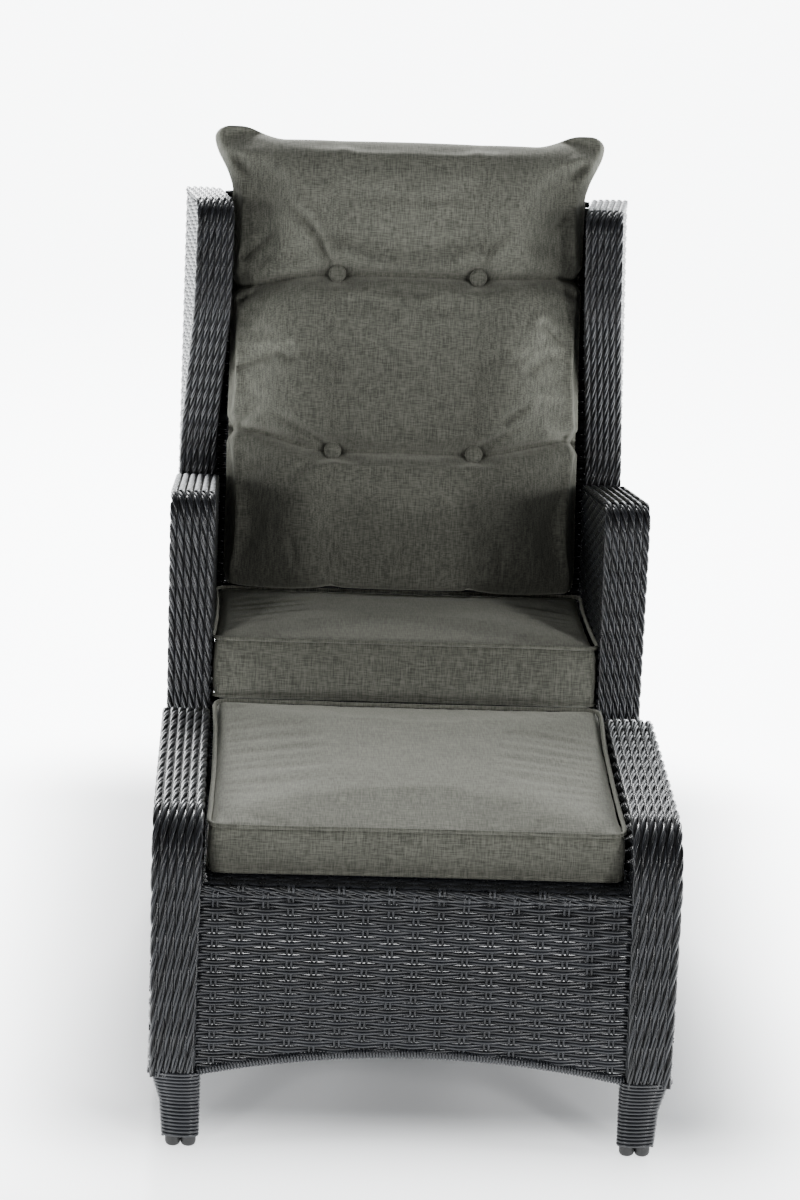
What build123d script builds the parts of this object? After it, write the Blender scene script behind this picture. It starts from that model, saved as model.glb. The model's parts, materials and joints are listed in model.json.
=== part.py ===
"""Reclining garden armchair of woven round rattan, with its footstool.

Millimetres, +Z up, +Y towards the chair's back. The origin is on the floor, in the middle
of the chair and footstool together. The chair faces -Y, towards its footstool.
"""
from build123d import *
from math import atan2, cos, hypot, pi, radians, sin, sqrt
import os

os.makedirs("parts", exist_ok=True)

# Tubes and strands
tube_radius = 9.0
side_rail_radius = 8.0
upright_radius = 11.0
hoop_radius = 8.0
weld_gap = 0.3
seam_gap = 0.3
weave_thickness = 5.0
tube_sides = 10

# Rope bands: strands side by side over the legs, arms and wings
rope_count = 6
rope_width = 11.0
rope_rise = 2.4
rope_face_shares = (0.25, 0.75)
band_thickness = 10.0
wing_rope_width = 9.5
wing_band_thickness = 9.0

# Chair and footstool sides, seen from the right: corners of the band's crest, (y, z)
half_width = 343.0
band_width = rope_count * rope_width
arm_front_foot_y = 2.0
arm_front_top_y = 26.0
arm_front_top_z = 705.0
arm_rear_foot_y = 565.0
arm_top_radius = 40.0
arm_rear_top_radius = 30.0
arm_knee_radius = 80.0
stool_depth = 570.0
stool_gap = 123.0
stool_height = 438.0
stool_splay = 40.0
stool_shoulder_radius = 92.0

# Back, which leans on the hinge
hinge_y = 440.0
hinge_z = 385.0
back_lean = 18.0
back_gap = 7.0
back_length = 669.0
wing_toe_in = 7.1
wing_front_reach = 26.5
wing_bulge_reach = 165.0
wing_top_reach = 178.0
wing_neck_height = 300.0
wing_shoulder_height = 480.0
wing_top_height = 640.0
wing_rear_height = 686.0
wing_bottom_height = 26.0
wing_face_rise = 2.4
wing_curve_radius = 120.0
wing_top_radius = 45.0
upright_x = half_width - 31.0
mid_bar_height = 330.0
mid_bar_radius = 8.0
top_bar_height = 657.0
arm_end_height = 240.0

# Legs, toes and windings
toe_inner_x = half_width - 57.0
toe_outer_x = half_width - 37.0
arm_tube_x = half_width - 18.0
lean_height = 210.0
lean_radius = 150.0
toe_height = 20.0
toe_radius = 9.5
toe_chamfer = 2.5
toe_sides = 16
wrap_low_z = 22.0
wrap_high_z = 95.0
wrap_thickness = 4.2
wrap_clearance = 0.25
winding_pitch = 5.3
winding_radius = 2.1
winding_chords = 4

# Seat and stool frames, decks and aprons
front_rail_z = 382.0
rear_rail_z = 350.0
stool_rail_z = 333.0
apron_depth = 5.0
apron_thickness = 8.0
apron_roll_radius = 6.0
arch_roll_radius = 6.0
roll_sides = 8
arch_end_z = 102.0
arch_peak_z = 132.0
seat_apron_top_z = 390.0
rear_apron_top_z = 286.0
stool_apron_top_z = 346.0
apron_side_gap = 0.5
deck_thickness = 5.0
deck_side_gap = 1.0
inner_weave_gap = 1.0

# Recline linkage
lug_thickness = 10.0
lug_radius = 18.0
lug_root_radius = 8.0
bush_thickness = 3.0
bush_length = 12.0
running_gap = 0.05
crank_length = 70.0
crank_angle = 9.0
crank_plate = 4.0
crank_head_radius = 16.0
crank_eye_radius = 11.0
link_pin_radius = 4.0
link_pin_head_radius = 7.0
link_pin_head = 3.0
link_pin_head_sides = 6
spring_base_y = 100.0
spring_base_z = 318.0
eye_offset_y = -0.28
eye_offset_z = -1.69
eye_bore_radius = 6.0
eye_half_width = 7.0
eye_side_gap = 2.0
eye_neck = 4.0
eye_neck_radius = 6.5
cylinder_radius = 11.0
cylinder_wall = 1.5
cylinder_front = 165.0
cylinder_gland = 12.0
rod_radius = 5.0
rod_end = 278.0
piston_length = 7.0
head_half_width = 10.0
head_height = 24.0
head_reach = 16.0
head_side_gap = 1.0
release_pin_radius = 2.5
release_pin_out = 5.0
release_pin_in = 6.0
release_travel = 5.0

# Release lever
shaft_radius = 4.0
shaft_drop = 25.0
finger_gap = 0.3
finger_thickness = 4.0
finger_half_width = 4.0
hub_radius = 8.0
hanger_thickness = 5.0
plate_root_radius = 7.0
hanger_inner_x = 30.0
hanger_outer_x = half_width - 88.0
lever_length = 112.0
lever_rise = 30.0
lever_grip_radius = 11.0
lever_hub_radius = 12.0
lever_thickness = 6.0
bush_ring_radius = 7.0

# Cushions
cushion_gap = 0.3
seat_cushion_front_height = 88.0
seat_cushion_rear_height = 98.0
seat_cushion_side_gap = 0.7
seat_cushion_front_y = 24.0
seat_cushion_rear_y = 394.0
seat_crown = 12.0
cushion_bulge = 3.0
cushion_draw = 5.0
stool_cushion_front_height = 66.0
stool_cushion_rear_height = 88.0
stool_cushion_side_gap = 6.0
stool_cushion_front_inset = 48.0
stool_cushion_rear_inset = 26.0
stool_crown = 14.0
back_cushion_low_height = 90.0
back_cushion_tilt = 12.0
back_cushion_high_height = 760.0
back_cushion_depth = 150.0
back_cushion_half_width = half_width - 87.0
back_cushion_skirt = 10.0
ear_half_width = half_width - 51.0
button_x = 107.0
lower_button_height = 272.0
upper_button_height = 541.0
button_radius = 13.0
button_height = 6.0
button_sides = 16
button_gap = 0.3

# Box cushions: the crown across, then how far along, how far drawn in and how high the crown is
box_crown_shares = ((0.8, 0.36), (0.5, 0.75), (0.2, 0.96), (-0.2, 0.96), (-0.5, 0.75), (-0.8, 0.36))
box_station_shares = ((0.0, 0.4, 0.35), (0.06, 0.1, 0.6), (0.5, 1.0, 1.0), (0.94, 0.1, 0.6), (1.0, 0.4, 0.35))


def write(node, shape):
    """Label one finished piece and write its file."""
    shape.label = node
    export_step(shape, f"parts/{node}.step")


def write_pair(node, shape):
    """Write the right-hand piece and its mirror image for the left."""
    write(f"right_{node}", shape)
    with BuildPart() as left:
        mirror(shape, about=Plane.YZ)
    write(f"left_{node}", left.part)


def side_plane(x):
    """Upright plane across the chair at x: its own x runs along Y and its own y along Z."""
    return Plane(origin=(x, 0, 0), x_dir=(0, 1, 0), z_dir=(1, 0, 0))


def inset(corners, radii, depth):
    """Move a clockwise outline inwards by depth; round corners keep their centres."""
    lines = []
    for (a0, b0), (a1, b1) in zip(corners, corners[1:]):
        length = hypot(a1 - a0, b1 - b0)
        da, db = (a1 - a0) / length, (b1 - b0) / length
        lines.append((a0 + db * depth, b0 - da * depth, da, db))
    moved = [lines[0][:2]]
    new_radii = []
    for (a0, b0, da, db), (a1, b1, ea, eb), radius in zip(lines, lines[1:], radii):
        turn = da * eb - db * ea
        run = ((a1 - a0) * eb - (b1 - b0) * ea) / turn
        moved.append((a0 + da * run, b0 + db * run))
        new_radii.append(radius - depth if turn < 0 else radius + depth)
    a, b, da, db = lines[-1]
    length = hypot(corners[-1][0] - corners[-2][0], corners[-1][1] - corners[-2][1])
    moved.append((a + da * length, b + db * length))
    return moved, new_radii


def at_height(low, high, height):
    """The point of the line from low to high that lies at a height."""
    along = (height - low[1]) / (high[1] - low[1])
    return (low[0] + along * (high[0] - low[0]), height)


def trim(corners, height):
    """Raise the two feet of a side's outline to a height."""
    first = at_height(corners[0], corners[1], height)
    last = at_height(corners[-1], corners[-2], height)
    return [first, *corners[1:-1], last]


def lift(plane, points, depth=0.0):
    """Outline points on a plane as points in space."""
    return [plane.from_local_coords((a, b, depth)) for a, b in points]


def round_bar(points, radii, radius):
    """A tube of many flat sides along straight runs and bends."""
    with BuildPart() as bar:
        with BuildLine() as route:
            if len(points) > 2:
                FilletPolyline(*points, radius=radii)
            else:
                Line(*points)
        with BuildSketch(Plane(origin=route.line @ 0, z_dir=route.line % 0)):
            RegularPolygon(radius, tube_sides)
        sweep()
    return bar.part


def cut_level(bar, plane):
    """Cut a bar's ends off below a plane."""
    with BuildPart() as level:
        add(bar)
        split(bisect_by=plane, keep=Keep.TOP)
    return level.part


def rope_band(plane, corners, radii, count, width, thickness):
    """Strands laid side by side along an outline; corners are those of the inner face."""
    half = count * width / 2
    valley = rope_rise - thickness
    profile = [(half, valley), (half, 0), (-half, 0), (-half, valley)]
    for index in range(count):
        left = -half + index * width
        profile += [(left + share * width, -thickness) for share in rope_face_shares]
        profile.append((left + width, valley))
    with BuildPart() as band:
        with BuildLine() as route:
            FilletPolyline(*lift(plane, corners), radius=radii)
        start = Plane(origin=route.line @ 0, x_dir=plane.z_dir, z_dir=route.line % 0)
        with BuildSketch(start):
            with BuildLine():
                Polyline(*profile)
            make_face()
        sweep()
    return band.part


def plate(plane, corners, radii, closing, thickness):
    """A flat woven panel: the rounded outline, closed by straight or curved lines."""
    with BuildPart() as panel:
        with BuildSketch(plane):
            with BuildLine() as edge:
                FilletPolyline(*corners, radius=radii)
                closing(edge.line @ 1, edge.line @ 0)
            make_face()
        extrude(amount=thickness)
    return panel.part


def arch_closing(end, start):
    """Close a panel's foot with one shallow arch."""
    middle = ((end.X + start.X) / 2, arch_peak_z)
    ThreePointArc(end, middle, start)


def straight_closing(end, start):
    """Close a panel's foot with a straight edge."""
    Line(end, start)


# Outlines of the two sides, from the front foot over the top to the rear foot
lean_sin, lean_cos = sin(radians(back_lean)), cos(radians(back_lean))


def back_point(v, u):
    """The (y, z) of a point v in front of the hinge line and u up the back."""
    return (hinge_y - v * lean_cos + u * lean_sin, hinge_z + v * lean_sin + u * lean_cos)


arm_corners = [
    (arm_front_foot_y, 0),
    (arm_front_top_y, arm_front_top_z),
    back_point(wing_front_reach + back_gap, arm_end_height),
    back_point(wing_front_reach + back_gap, 0),
    (arm_rear_foot_y, 0),
]
arm_radii = [arm_top_radius, arm_rear_top_radius, arm_knee_radius]
stool_rear_y = arm_front_foot_y - stool_gap + stool_splay
stool_front_y = stool_rear_y - stool_depth
stool_corners = [
    (stool_front_y - stool_splay, 0),
    (stool_front_y, stool_height),
    (stool_rear_y, stool_height),
    (stool_rear_y + stool_splay, 0),
]
stool_radii = [stool_shoulder_radius, stool_shoulder_radius]
tube_inset = band_thickness + seam_gap + tube_radius
weave_inset = band_thickness + seam_gap
foot_plane = Plane.XY.offset(toe_height + weld_gap)


def leg_line(corners, which):
    """Low and high (y, z) of a leg tube's centre line: which is 0 in front, 1 behind."""
    centre, _ = inset(corners, [tube_inset] * (len(corners) - 2), tube_inset)
    return (centre[0], centre[1]) if which == 0 else (centre[-1], centre[-2])


def outer_tube_x(z):
    """How far out the outer leg tube's centre is at a height."""
    share = min(1.0, z / lean_height)
    return toe_outer_x + share * (arm_tube_x - toe_outer_x)


def side_pieces(prefix, corners, radii, inner_low_z):
    """Band, weaves and bent tube of one side, and their mirror images."""
    band_corners, band_radii = inset(trim(corners, wrap_high_z + seam_gap), radii, band_thickness)
    middle = side_plane(half_width - band_width / 2)
    band = rope_band(middle, band_corners, band_radii, rope_count, rope_width, band_thickness)
    write_pair(f"{prefix}_band", band)

    outline, outline_radii = inset(trim(corners, arch_end_z), radii, weave_inset)
    outer_x = half_width - weave_thickness - rope_rise
    outer = plate(side_plane(outer_x), outline, outline_radii, arch_closing, weave_thickness)
    if prefix == "arm":
        with BuildPart() as holed:
            add(outer)
            with BuildSketch(side_plane(outer_x)):
                with Locations((shaft_y, shaft_z)):
                    Circle(bush_ring_radius)
            extrude(amount=weave_thickness, mode=Mode.SUBTRACT)
        outer = holed.part
    write_pair(f"{prefix}_outer_weave", outer)

    upper, upper_radii = inset(corners, radii, weave_inset)
    upper = trim(upper, inner_low_z)
    if prefix == "arm":
        upper = [upper[0], *upper[1:3], at_height(upper[3], upper[2], inner_low_z + arm_knee_radius)]
        upper_radii = upper_radii[:2]
    inner_x = half_width - band_width + seam_gap
    inner = plate(side_plane(inner_x), upper, upper_radii, straight_closing, weave_thickness)
    write_pair(f"{prefix}_inner_weave", inner)

    centre, centre_radii = inset(corners, radii, tube_inset)
    front, rear = leg_line(corners, 0), leg_line(corners, 1)
    route = [
        (toe_outer_x, *at_height(*front, 0)),
        (arm_tube_x, *at_height(*front, lean_height)),
        *[(arm_tube_x, y, z) for y, z in centre[1:-1]],
        (arm_tube_x, *at_height(*rear, lean_height)),
        (toe_outer_x, *at_height(*rear, 0)),
    ]
    frame = round_bar(route, [lean_radius, *centre_radii, lean_radius], tube_radius)
    write_pair(f"{prefix}_frame", cut_level(frame, foot_plane))


def apron(low, high, facing, top_z):
    """A woven apron between two legs, with a rolled top and an arched, wrapped foot."""
    half = toe_inner_x - tube_radius - apron_side_gap
    along = Vector(0, high[0] - low[0], high[1] - low[1]).normalized()
    across = Vector(facing, 0, 0)
    plane = Plane(origin=(0, *low), x_dir=across, z_dir=across.cross(along))
    top = top_z / along.Z
    peak, end = arch_peak_z / along.Z, arch_end_z / along.Z
    with BuildPart() as piece:
        with BuildSketch(plane.offset(-apron_thickness / 2)):
            with BuildLine():
                Polyline((-half, end), (-half, top), (half, top), (half, end))
                ThreePointArc((half, end), (0, peak), (-half, end))
            make_face()
        extrude(amount=apron_thickness)
        roll = Plane(origin=plane.from_local_coords((-half, top, 0)), z_dir=across)
        with BuildSketch(roll):
            RegularPolygon(apron_roll_radius, roll_sides)
        extrude(amount=2 * half)
        with BuildLine() as arch:
            ThreePointArc(*lift(plane, ((-half, end), (0, peak), (half, end))))
        with BuildSketch(Plane(origin=arch.line @ 0, z_dir=arch.line % 0)):
            RegularPolygon(arch_roll_radius, roll_sides)
        sweep()
    return piece.part


def apron_line(corners, which):
    """Low and high (y, z) of an apron's middle: which is 0 in front, 1 behind."""
    depth = band_thickness + apron_depth
    centre, _ = inset(corners, [depth] * (len(corners) - 2), depth)
    return (centre[0], centre[1]) if which == 0 else (centre[-1], centre[-2])


def rail_place(corners, which, height):
    """Centre (y, z) of the cross rail that runs behind an apron."""
    depth = band_thickness + apron_depth + apron_thickness / 2 + weld_gap + tube_radius
    centre, _ = inset(corners, [depth] * (len(corners) - 2), depth)
    ends = (centre[0], centre[1]) if which == 0 else (centre[-1], centre[-2])
    return at_height(*ends, height)


def welded_frame(corners, front_z, rear_z):
    """Four inner leg tubes, four rails and the cross rails' ends that reach the side tubes."""
    front_rail = rail_place(corners, 0, front_z)
    rear_rail = rail_place(corners, 1, rear_z)
    reach = arm_tube_x - tube_radius - weld_gap
    with BuildPart() as frame:
        for which, rail in enumerate((front_rail, rear_rail)):
            line = leg_line(corners, which)
            foot, top = at_height(*line, 0), at_height(*line, rail[1])
            for side in (-1, 1):
                add(round_bar([(side * toe_inner_x, *foot), (side * toe_inner_x, *top)], [], tube_radius))
            add(round_bar([(-reach, *rail), (reach, *rail)], [], tube_radius))
        for side in (-1, 1):
            ends = [(side * toe_inner_x, *front_rail), (side * toe_inner_x, *rear_rail)]
            add(round_bar(ends, [], side_rail_radius))
        split(bisect_by=foot_plane, keep=Keep.TOP)
    return frame.part, front_rail, rear_rail


def deck(front_rail, rear_rail, half):
    """The woven deck that lies on the rails."""
    slope = atan2(front_rail[1] - rear_rail[1], rear_rail[0] - front_rail[0])
    rise = (tube_radius + weld_gap) / cos(slope)
    start = (0, front_rail[0], front_rail[1] + rise)
    plane = Plane(origin=start, x_dir=(1, 0, 0), z_dir=(0, sin(slope), cos(slope)))
    length = hypot(rear_rail[0] - front_rail[0], rear_rail[1] - front_rail[1])
    with BuildPart() as piece:
        with BuildSketch(plane):
            with Locations((0, length / 2)):
                Rectangle(2 * half, length)
        extrude(amount=deck_thickness)
    return piece.part, plane, slope


def toe_caps(corners):
    """Toe caps under every leg tube."""
    with BuildPart() as caps:
        for which in (0, 1):
            y, _ = at_height(*leg_line(corners, which), toe_height / 2)
            for x in (-toe_outer_x, -toe_inner_x, toe_inner_x, toe_outer_x):
                with BuildSketch():
                    with Locations((x, y)):
                        RegularPolygon(toe_radius, toe_sides)
                extrude(amount=toe_height)
        chamfer(caps.edges().group_by(Axis.Z)[0], toe_chamfer)
    return caps.part


def wound_outline(length, radius):
    """The outline round two tubes side by side: a long shape with cut corners."""
    reach = length / 2 + radius
    cut = radius * (2 - sqrt(2))
    corner = [(reach, radius - cut), (reach - cut, radius)]
    upper = corner + [(-a, b) for a, b in reversed(corner)]
    return upper + [(-a, -b) for a, b in upper]


def wound_sleeves(corners, ends):
    """The close winding round both tubes of the legs, from above the toes to the band."""
    outer = tube_radius + wrap_clearance + wrap_thickness
    with BuildPart() as sleeves:
        for which in ends:
            line = leg_line(corners, which)
            along = Vector(0, line[1][0] - line[0][0], line[1][1] - line[0][1]).normalized()
            top, _ = inset(trim(corners, wrap_high_z), [tube_inset] * (len(corners) - 2), tube_inset)
            foot = at_height(*line, wrap_low_z + outer * abs(along.Y))
            for side in (-1, 1):
                for radius, mode in ((outer, Mode.ADD), (outer - wrap_thickness, Mode.SUBTRACT)):
                    for y, z in (foot, top[0 if which == 0 else -1]):
                        middle = side * (toe_inner_x + outer_tube_x(z)) / 2
                        with BuildSketch(Plane(origin=(middle, y, z), x_dir=(1, 0, 0), z_dir=along)):
                            with BuildLine():
                                Polyline(*wound_outline(outer_tube_x(z) - toe_inner_x, radius), close=True)
                            make_face()
                    loft(ruled=True, mode=mode)
    return sleeves.part


def winding(corners, side):
    """One unbroken strand wound round both tubes of a front leg, and its least gap to itself."""
    line = leg_line(corners, 0)
    radius = tube_radius + wrap_clearance + winding_radius
    turns = int((wrap_high_z - wrap_low_z - 3 * winding_radius) / winding_pitch)
    reach = radius / cos(pi / (2 * winding_chords))
    z = wrap_low_z + winding_radius
    begin = Vector(side * (toe_inner_x + toe_outer_x) / 2, at_height(*line, z)[0] - radius, z)
    points = [begin]
    for index in range(2 * turns):
        heading = 1 if index % 2 == 0 else -1
        outwards = heading * side > 0
        for chord in range(winding_chords):
            share = (2 * chord + 1) / (2 * winding_chords)
            height = z + share * winding_pitch / 2
            middle = side * (outer_tube_x(height) if outwards else toe_inner_x)
            across, along = heading * reach * sin(pi * share), heading * reach * cos(pi * share)
            points.append(Vector(middle + across, at_height(*line, height)[0] - along, height))
        z += winding_pitch / 2
    points.append(Vector(begin.X, points[-1].Y, z))
    with BuildPart() as strand:
        with BuildLine():
            Polyline(*points)
        with BuildSketch(Plane(origin=begin, x_dir=(0, 1, 0), z_dir=(1, 0, 0))):
            RegularPolygon(winding_radius, winding_chords)
        sweep(transition=Transition.RIGHT)
    samples = [p for a, b in zip(points, points[1:]) for p in (a, (a + b) / 2)]
    per_turn = len(samples) // turns
    least = min(
        (a - b).length
        for i, a in enumerate(samples)
        for b in samples[i + per_turn // 2 : i + 2 * per_turn]
    )
    print("winding", turns, "turns, least gap", round(least - 2 * winding_radius, 2), "mm")
    return strand.part


def box_cushion(plane, half, depth, front_height, rear_height, crown):
    """A boxed cushion with a crowned top and sides drawn in between its corners."""
    with BuildPart() as cushion:
        for along_share, draw_share, crown_share in box_station_shares:
            station = Plane(
                origin=plane.from_local_coords((0, along_share * depth, 0)),
                x_dir=plane.x_dir,
                z_dir=-plane.y_dir,
            )
            edge = half - draw_share * cushion_draw
            height = front_height + along_share * (rear_height - front_height)
            top = [(a * edge, height + b * crown_share * crown) for a, b in box_crown_shares]
            right = [(edge, 0), (edge + cushion_bulge, height / 2), (edge, height)]
            left = [(-a, b) for a, b in reversed(right)]
            with BuildSketch(station):
                with BuildLine():
                    Polyline(*right, *top, *left, close=True)
                make_face()
        loft(ruled=True)
    return cushion.part


# Places that the lever and the spring share
shaft_y = spring_base_y - head_reach - release_pin_out - finger_gap - finger_thickness
shaft_z = spring_base_z + shaft_drop

# The chair's sides, frame, aprons and deck
side_pieces("arm", arm_corners, arm_radii, front_rail_z + tube_radius + inner_weave_gap)
seat_welded, front_rail, rear_rail = welded_frame(arm_corners, front_rail_z, rear_rail_z)
write("seat_front_weave", apron(*apron_line(arm_corners, 0), 1, seat_apron_top_z))
write("seat_rear_weave", apron(*apron_line(arm_corners, 1), -1, rear_apron_top_z))
lug_x = half_width - band_width - seam_gap - lug_thickness / 2
deck_half = lug_x - lug_thickness / 2 - deck_side_gap
seat_deck, seat_plane, seat_slope = deck(front_rail, rear_rail, deck_half)
write("seat_deck", seat_deck)

# Linkage places: the crank's pin, the spring's eye and the line between its two ends
pin_y = hinge_y + crank_length * sin(radians(crank_angle))
pin_z = hinge_z - crank_length * cos(radians(crank_angle))
eye_y, eye_z = pin_y + eye_offset_y, pin_z + eye_offset_z
spring_length = hypot(eye_y - spring_base_y, eye_z - spring_base_z)
spring_along = Vector(0, eye_y - spring_base_y, eye_z - spring_base_z).normalized()
spring_plane = Plane(origin=(0, spring_base_y, spring_base_z), x_dir=(1, 0, 0), z_dir=spring_along)


def link_plate(x_low, thickness, first, first_radius, second, second_radius, bores):
    """A flat link between two bosses, with its bores."""
    with BuildPart() as link:
        with BuildSketch(side_plane(x_low)):
            with Locations(first):
                Circle(first_radius)
            with Locations(second):
                Circle(second_radius)
            make_hull()
        extrude(amount=thickness)
        for place, radius in bores:
            with BuildSketch(side_plane(x_low)):
                with Locations(place):
                    Circle(radius)
            extrude(amount=thickness, mode=Mode.SUBTRACT)
    return link.part


hinge = (hinge_y, hinge_z)
shaft = (shaft_y, shaft_z)
spring_base = (spring_base_y, spring_base_z)
bush_outer = upright_radius + running_gap + bush_thickness
along_rail = (spring_base_y - front_rail[0]) / (rear_rail[0] - front_rail[0])
spring_bar_z = front_rail[1] + along_rail * (rear_rail[1] - front_rail[1])
base_plate_x = head_half_width + head_side_gap
with BuildPart() as seat_frame:
    add(seat_welded)
    for side in (-1, 1):
        lug_low = side * lug_x - lug_thickness / 2
        add(link_plate(lug_low, lug_thickness, hinge, lug_radius, rear_rail, lug_root_radius, []))
    bar_ends = [(x, spring_base_y, spring_bar_z) for x in (-toe_inner_x, toe_inner_x)]
    add(round_bar(bar_ends, [], tube_radius))
    for x_low in (base_plate_x, -base_plate_x - crank_plate):
        bar = (spring_base_y, spring_bar_z)
        add(link_plate(x_low, crank_plate, bar, plate_root_radius, spring_base, crank_eye_radius, []))
    for x_low in (hanger_inner_x, hanger_outer_x):
        add(link_plate(x_low, hanger_thickness, front_rail, plate_root_radius, shaft, hub_radius, []))
    for place, radius, reach in (
        (hinge, bush_outer + running_gap, half_width),
        (spring_base, link_pin_radius + running_gap, base_plate_x + 2 * crank_plate),
    ):
        with BuildSketch(side_plane(-reach)):
            with Locations(place):
                Circle(radius)
        extrude(amount=2 * reach, mode=Mode.SUBTRACT)
    with BuildSketch(side_plane(0)):
        with Locations(shaft):
            Circle(shaft_radius + running_gap)
    extrude(amount=half_width, mode=Mode.SUBTRACT)
write("seat_frame", seat_frame.part)

with BuildPart() as hinge_bushes:
    for side in (-1, 1):
        with BuildSketch(side_plane(side * lug_x - bush_length / 2)):
            with Locations(hinge):
                Circle(bush_outer)
                Circle(upright_radius + running_gap, mode=Mode.SUBTRACT)
        extrude(amount=bush_length)
write("hinge_bushes", hinge_bushes.part)


def headed_pin(place, half_length):
    """A pin with a six-sided head at each end."""
    with BuildPart() as pin:
        with BuildSketch(side_plane(-half_length)):
            with Locations(place):
                Circle(link_pin_radius)
        extrude(amount=2 * half_length)
        for x_low in (-half_length - link_pin_head, half_length):
            with BuildSketch(side_plane(x_low)):
                with Locations(place):
                    RegularPolygon(link_pin_head_radius, link_pin_head_sides)
            extrude(amount=link_pin_head)
    return pin.part


write("spring_base_pin", headed_pin(spring_base, base_plate_x + crank_plate + weld_gap))
crank_pin_place = (pin_y, pin_z)
crank_plate_x = eye_half_width + eye_side_gap
write("crank_pin", headed_pin(crank_pin_place, crank_plate_x + crank_plate + weld_gap))

# The gas spring: rod with its release head in front, cylinder with its eye behind
with BuildPart() as spring_rod:
    with BuildSketch(spring_plane.offset(head_reach)):
        Circle(rod_radius)
    extrude(amount=rod_end - head_reach)
    with BuildSketch(spring_plane.offset(rod_end - piston_length)):
        Circle(cylinder_radius - cylinder_wall - running_gap)
    extrude(amount=piston_length)
write("spring_rod", spring_rod.part)

with BuildPart() as release_head:
    with BuildSketch(spring_plane.offset(-head_reach)):
        Rectangle(2 * head_half_width, head_height)
    extrude(amount=2 * head_reach)
    with BuildSketch(spring_plane.offset(-head_reach)):
        Circle(release_pin_radius + running_gap)
    extrude(amount=release_pin_in + release_travel, mode=Mode.SUBTRACT)
    with BuildSketch(side_plane(-head_half_width)):
        with Locations(spring_base):
            Circle(link_pin_radius + running_gap)
    extrude(amount=2 * head_half_width, mode=Mode.SUBTRACT)
write("release_head", release_head.part)

with BuildPart() as release_pin:
    with BuildSketch(spring_plane.offset(-head_reach - release_pin_out)):
        Circle(release_pin_radius)
    extrude(amount=release_pin_out + release_pin_in)
write("release_pin", release_pin.part)

cylinder_back = spring_length - crank_eye_radius - eye_neck
with BuildPart() as spring_cylinder:
    with BuildSketch(spring_plane.offset(cylinder_front)):
        Circle(cylinder_radius)
    extrude(amount=cylinder_back - cylinder_front)
    with BuildSketch(spring_plane.offset(cylinder_front + cylinder_gland)):
        Circle(cylinder_radius - cylinder_wall)
    extrude(amount=cylinder_back - cylinder_front - 2 * cylinder_gland, mode=Mode.SUBTRACT)
    with BuildSketch(spring_plane.offset(cylinder_front)):
        Circle(rod_radius + running_gap)
    extrude(amount=cylinder_gland, mode=Mode.SUBTRACT)
    chamfer(spring_cylinder.edges().filter_by(GeomType.CIRCLE).sort_by(Axis.Y)[-1], cylinder_wall)
    with BuildSketch(spring_plane.offset(cylinder_back)):
        Circle(eye_neck_radius)
    extrude(amount=spring_length - cylinder_back)
    with BuildSketch(side_plane(-eye_half_width)):
        with Locations((eye_y, eye_z)):
            Circle(crank_eye_radius)
    extrude(amount=2 * eye_half_width)
    with BuildSketch(side_plane(-cylinder_radius)):
        with Locations((eye_y, eye_z)):
            Circle(eye_bore_radius)
    extrude(amount=2 * cylinder_radius, mode=Mode.SUBTRACT)
write("spring_cylinder", spring_cylinder.part)

# Release lever: a shaft under the seat, a finger on the release pin and a grip outside
lever_x = half_width + weld_gap
shaft_start = -finger_half_width - weld_gap
with BuildPart() as release_shaft:
    with BuildSketch(side_plane(shaft_start)):
        with Locations(shaft):
            Circle(shaft_radius)
    extrude(amount=lever_x + lever_thickness - shaft_start)
write("release_shaft", release_shaft.part)

with BuildPart() as release_finger:
    with BuildSketch(side_plane(-finger_half_width)):
        with Locations(shaft):
            Circle(hub_radius)
        with Locations((shaft_y + finger_thickness / 2, shaft_z - shaft_drop / 2)):
            Rectangle(finger_thickness, shaft_drop + 2 * release_pin_radius)
        with Locations(shaft):
            Circle(shaft_radius + running_gap, mode=Mode.SUBTRACT)
    extrude(amount=2 * finger_half_width)
write("release_finger", release_finger.part)

grip = (shaft_y + lever_length, shaft_z + lever_rise)
bore = [(shaft, shaft_radius + running_gap)]
lever = link_plate(lever_x, lever_thickness, shaft, lever_hub_radius, grip, lever_grip_radius, bore)
write("release_lever", lever)

with BuildPart() as lever_bush:
    with BuildSketch(side_plane(half_width - rope_rise - weave_thickness)):
        with Locations(shaft):
            Circle(bush_ring_radius - running_gap)
            Circle(shaft_radius + running_gap, mode=Mode.SUBTRACT)
    extrude(amount=weave_thickness + rope_rise)
write("lever_bush", lever_bush.part)

# Backrest: plane across the chair whose own y runs up the back
back_plane = Plane(origin=(0, hinge_y, hinge_z), x_dir=(1, 0, 0), z_dir=(0, -lean_cos, lean_sin))
tube_end = upright_x - upright_radius - weld_gap


def back_bar(x_low, x_high, u, radius):
    """A straight cross tube of the back."""
    with BuildPart() as bar:
        y, z = back_point(0, u)
        with BuildSketch(side_plane(x_low)):
            with Locations((y, z)):
                Circle(radius)
        extrude(amount=x_high - x_low)
    return bar.part


with BuildPart() as back_hinge_tube:
    add(back_bar(-tube_end, tube_end, 0, upright_radius))
    crank_bore = [(crank_pin_place, link_pin_radius + running_gap)]
    crank_ends = (hinge, crank_head_radius, crank_pin_place, crank_eye_radius)
    for x_low in (crank_plate_x, -crank_plate_x - crank_plate):
        add(link_plate(x_low, crank_plate, *crank_ends, crank_bore))
write("back_hinge_tube", back_hinge_tube.part)
write("back_mid_bar", back_bar(-tube_end, tube_end, mid_bar_height, mid_bar_radius))
write("back_top_bar", back_bar(-tube_end, tube_end, top_bar_height, upright_radius))

upright_ends = (-upright_radius, top_bar_height + upright_radius)
upright_points = [(upright_x, *back_point(0, height)) for height in upright_ends]
write_pair("back_upright", round_bar(upright_points, [], upright_radius))

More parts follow.
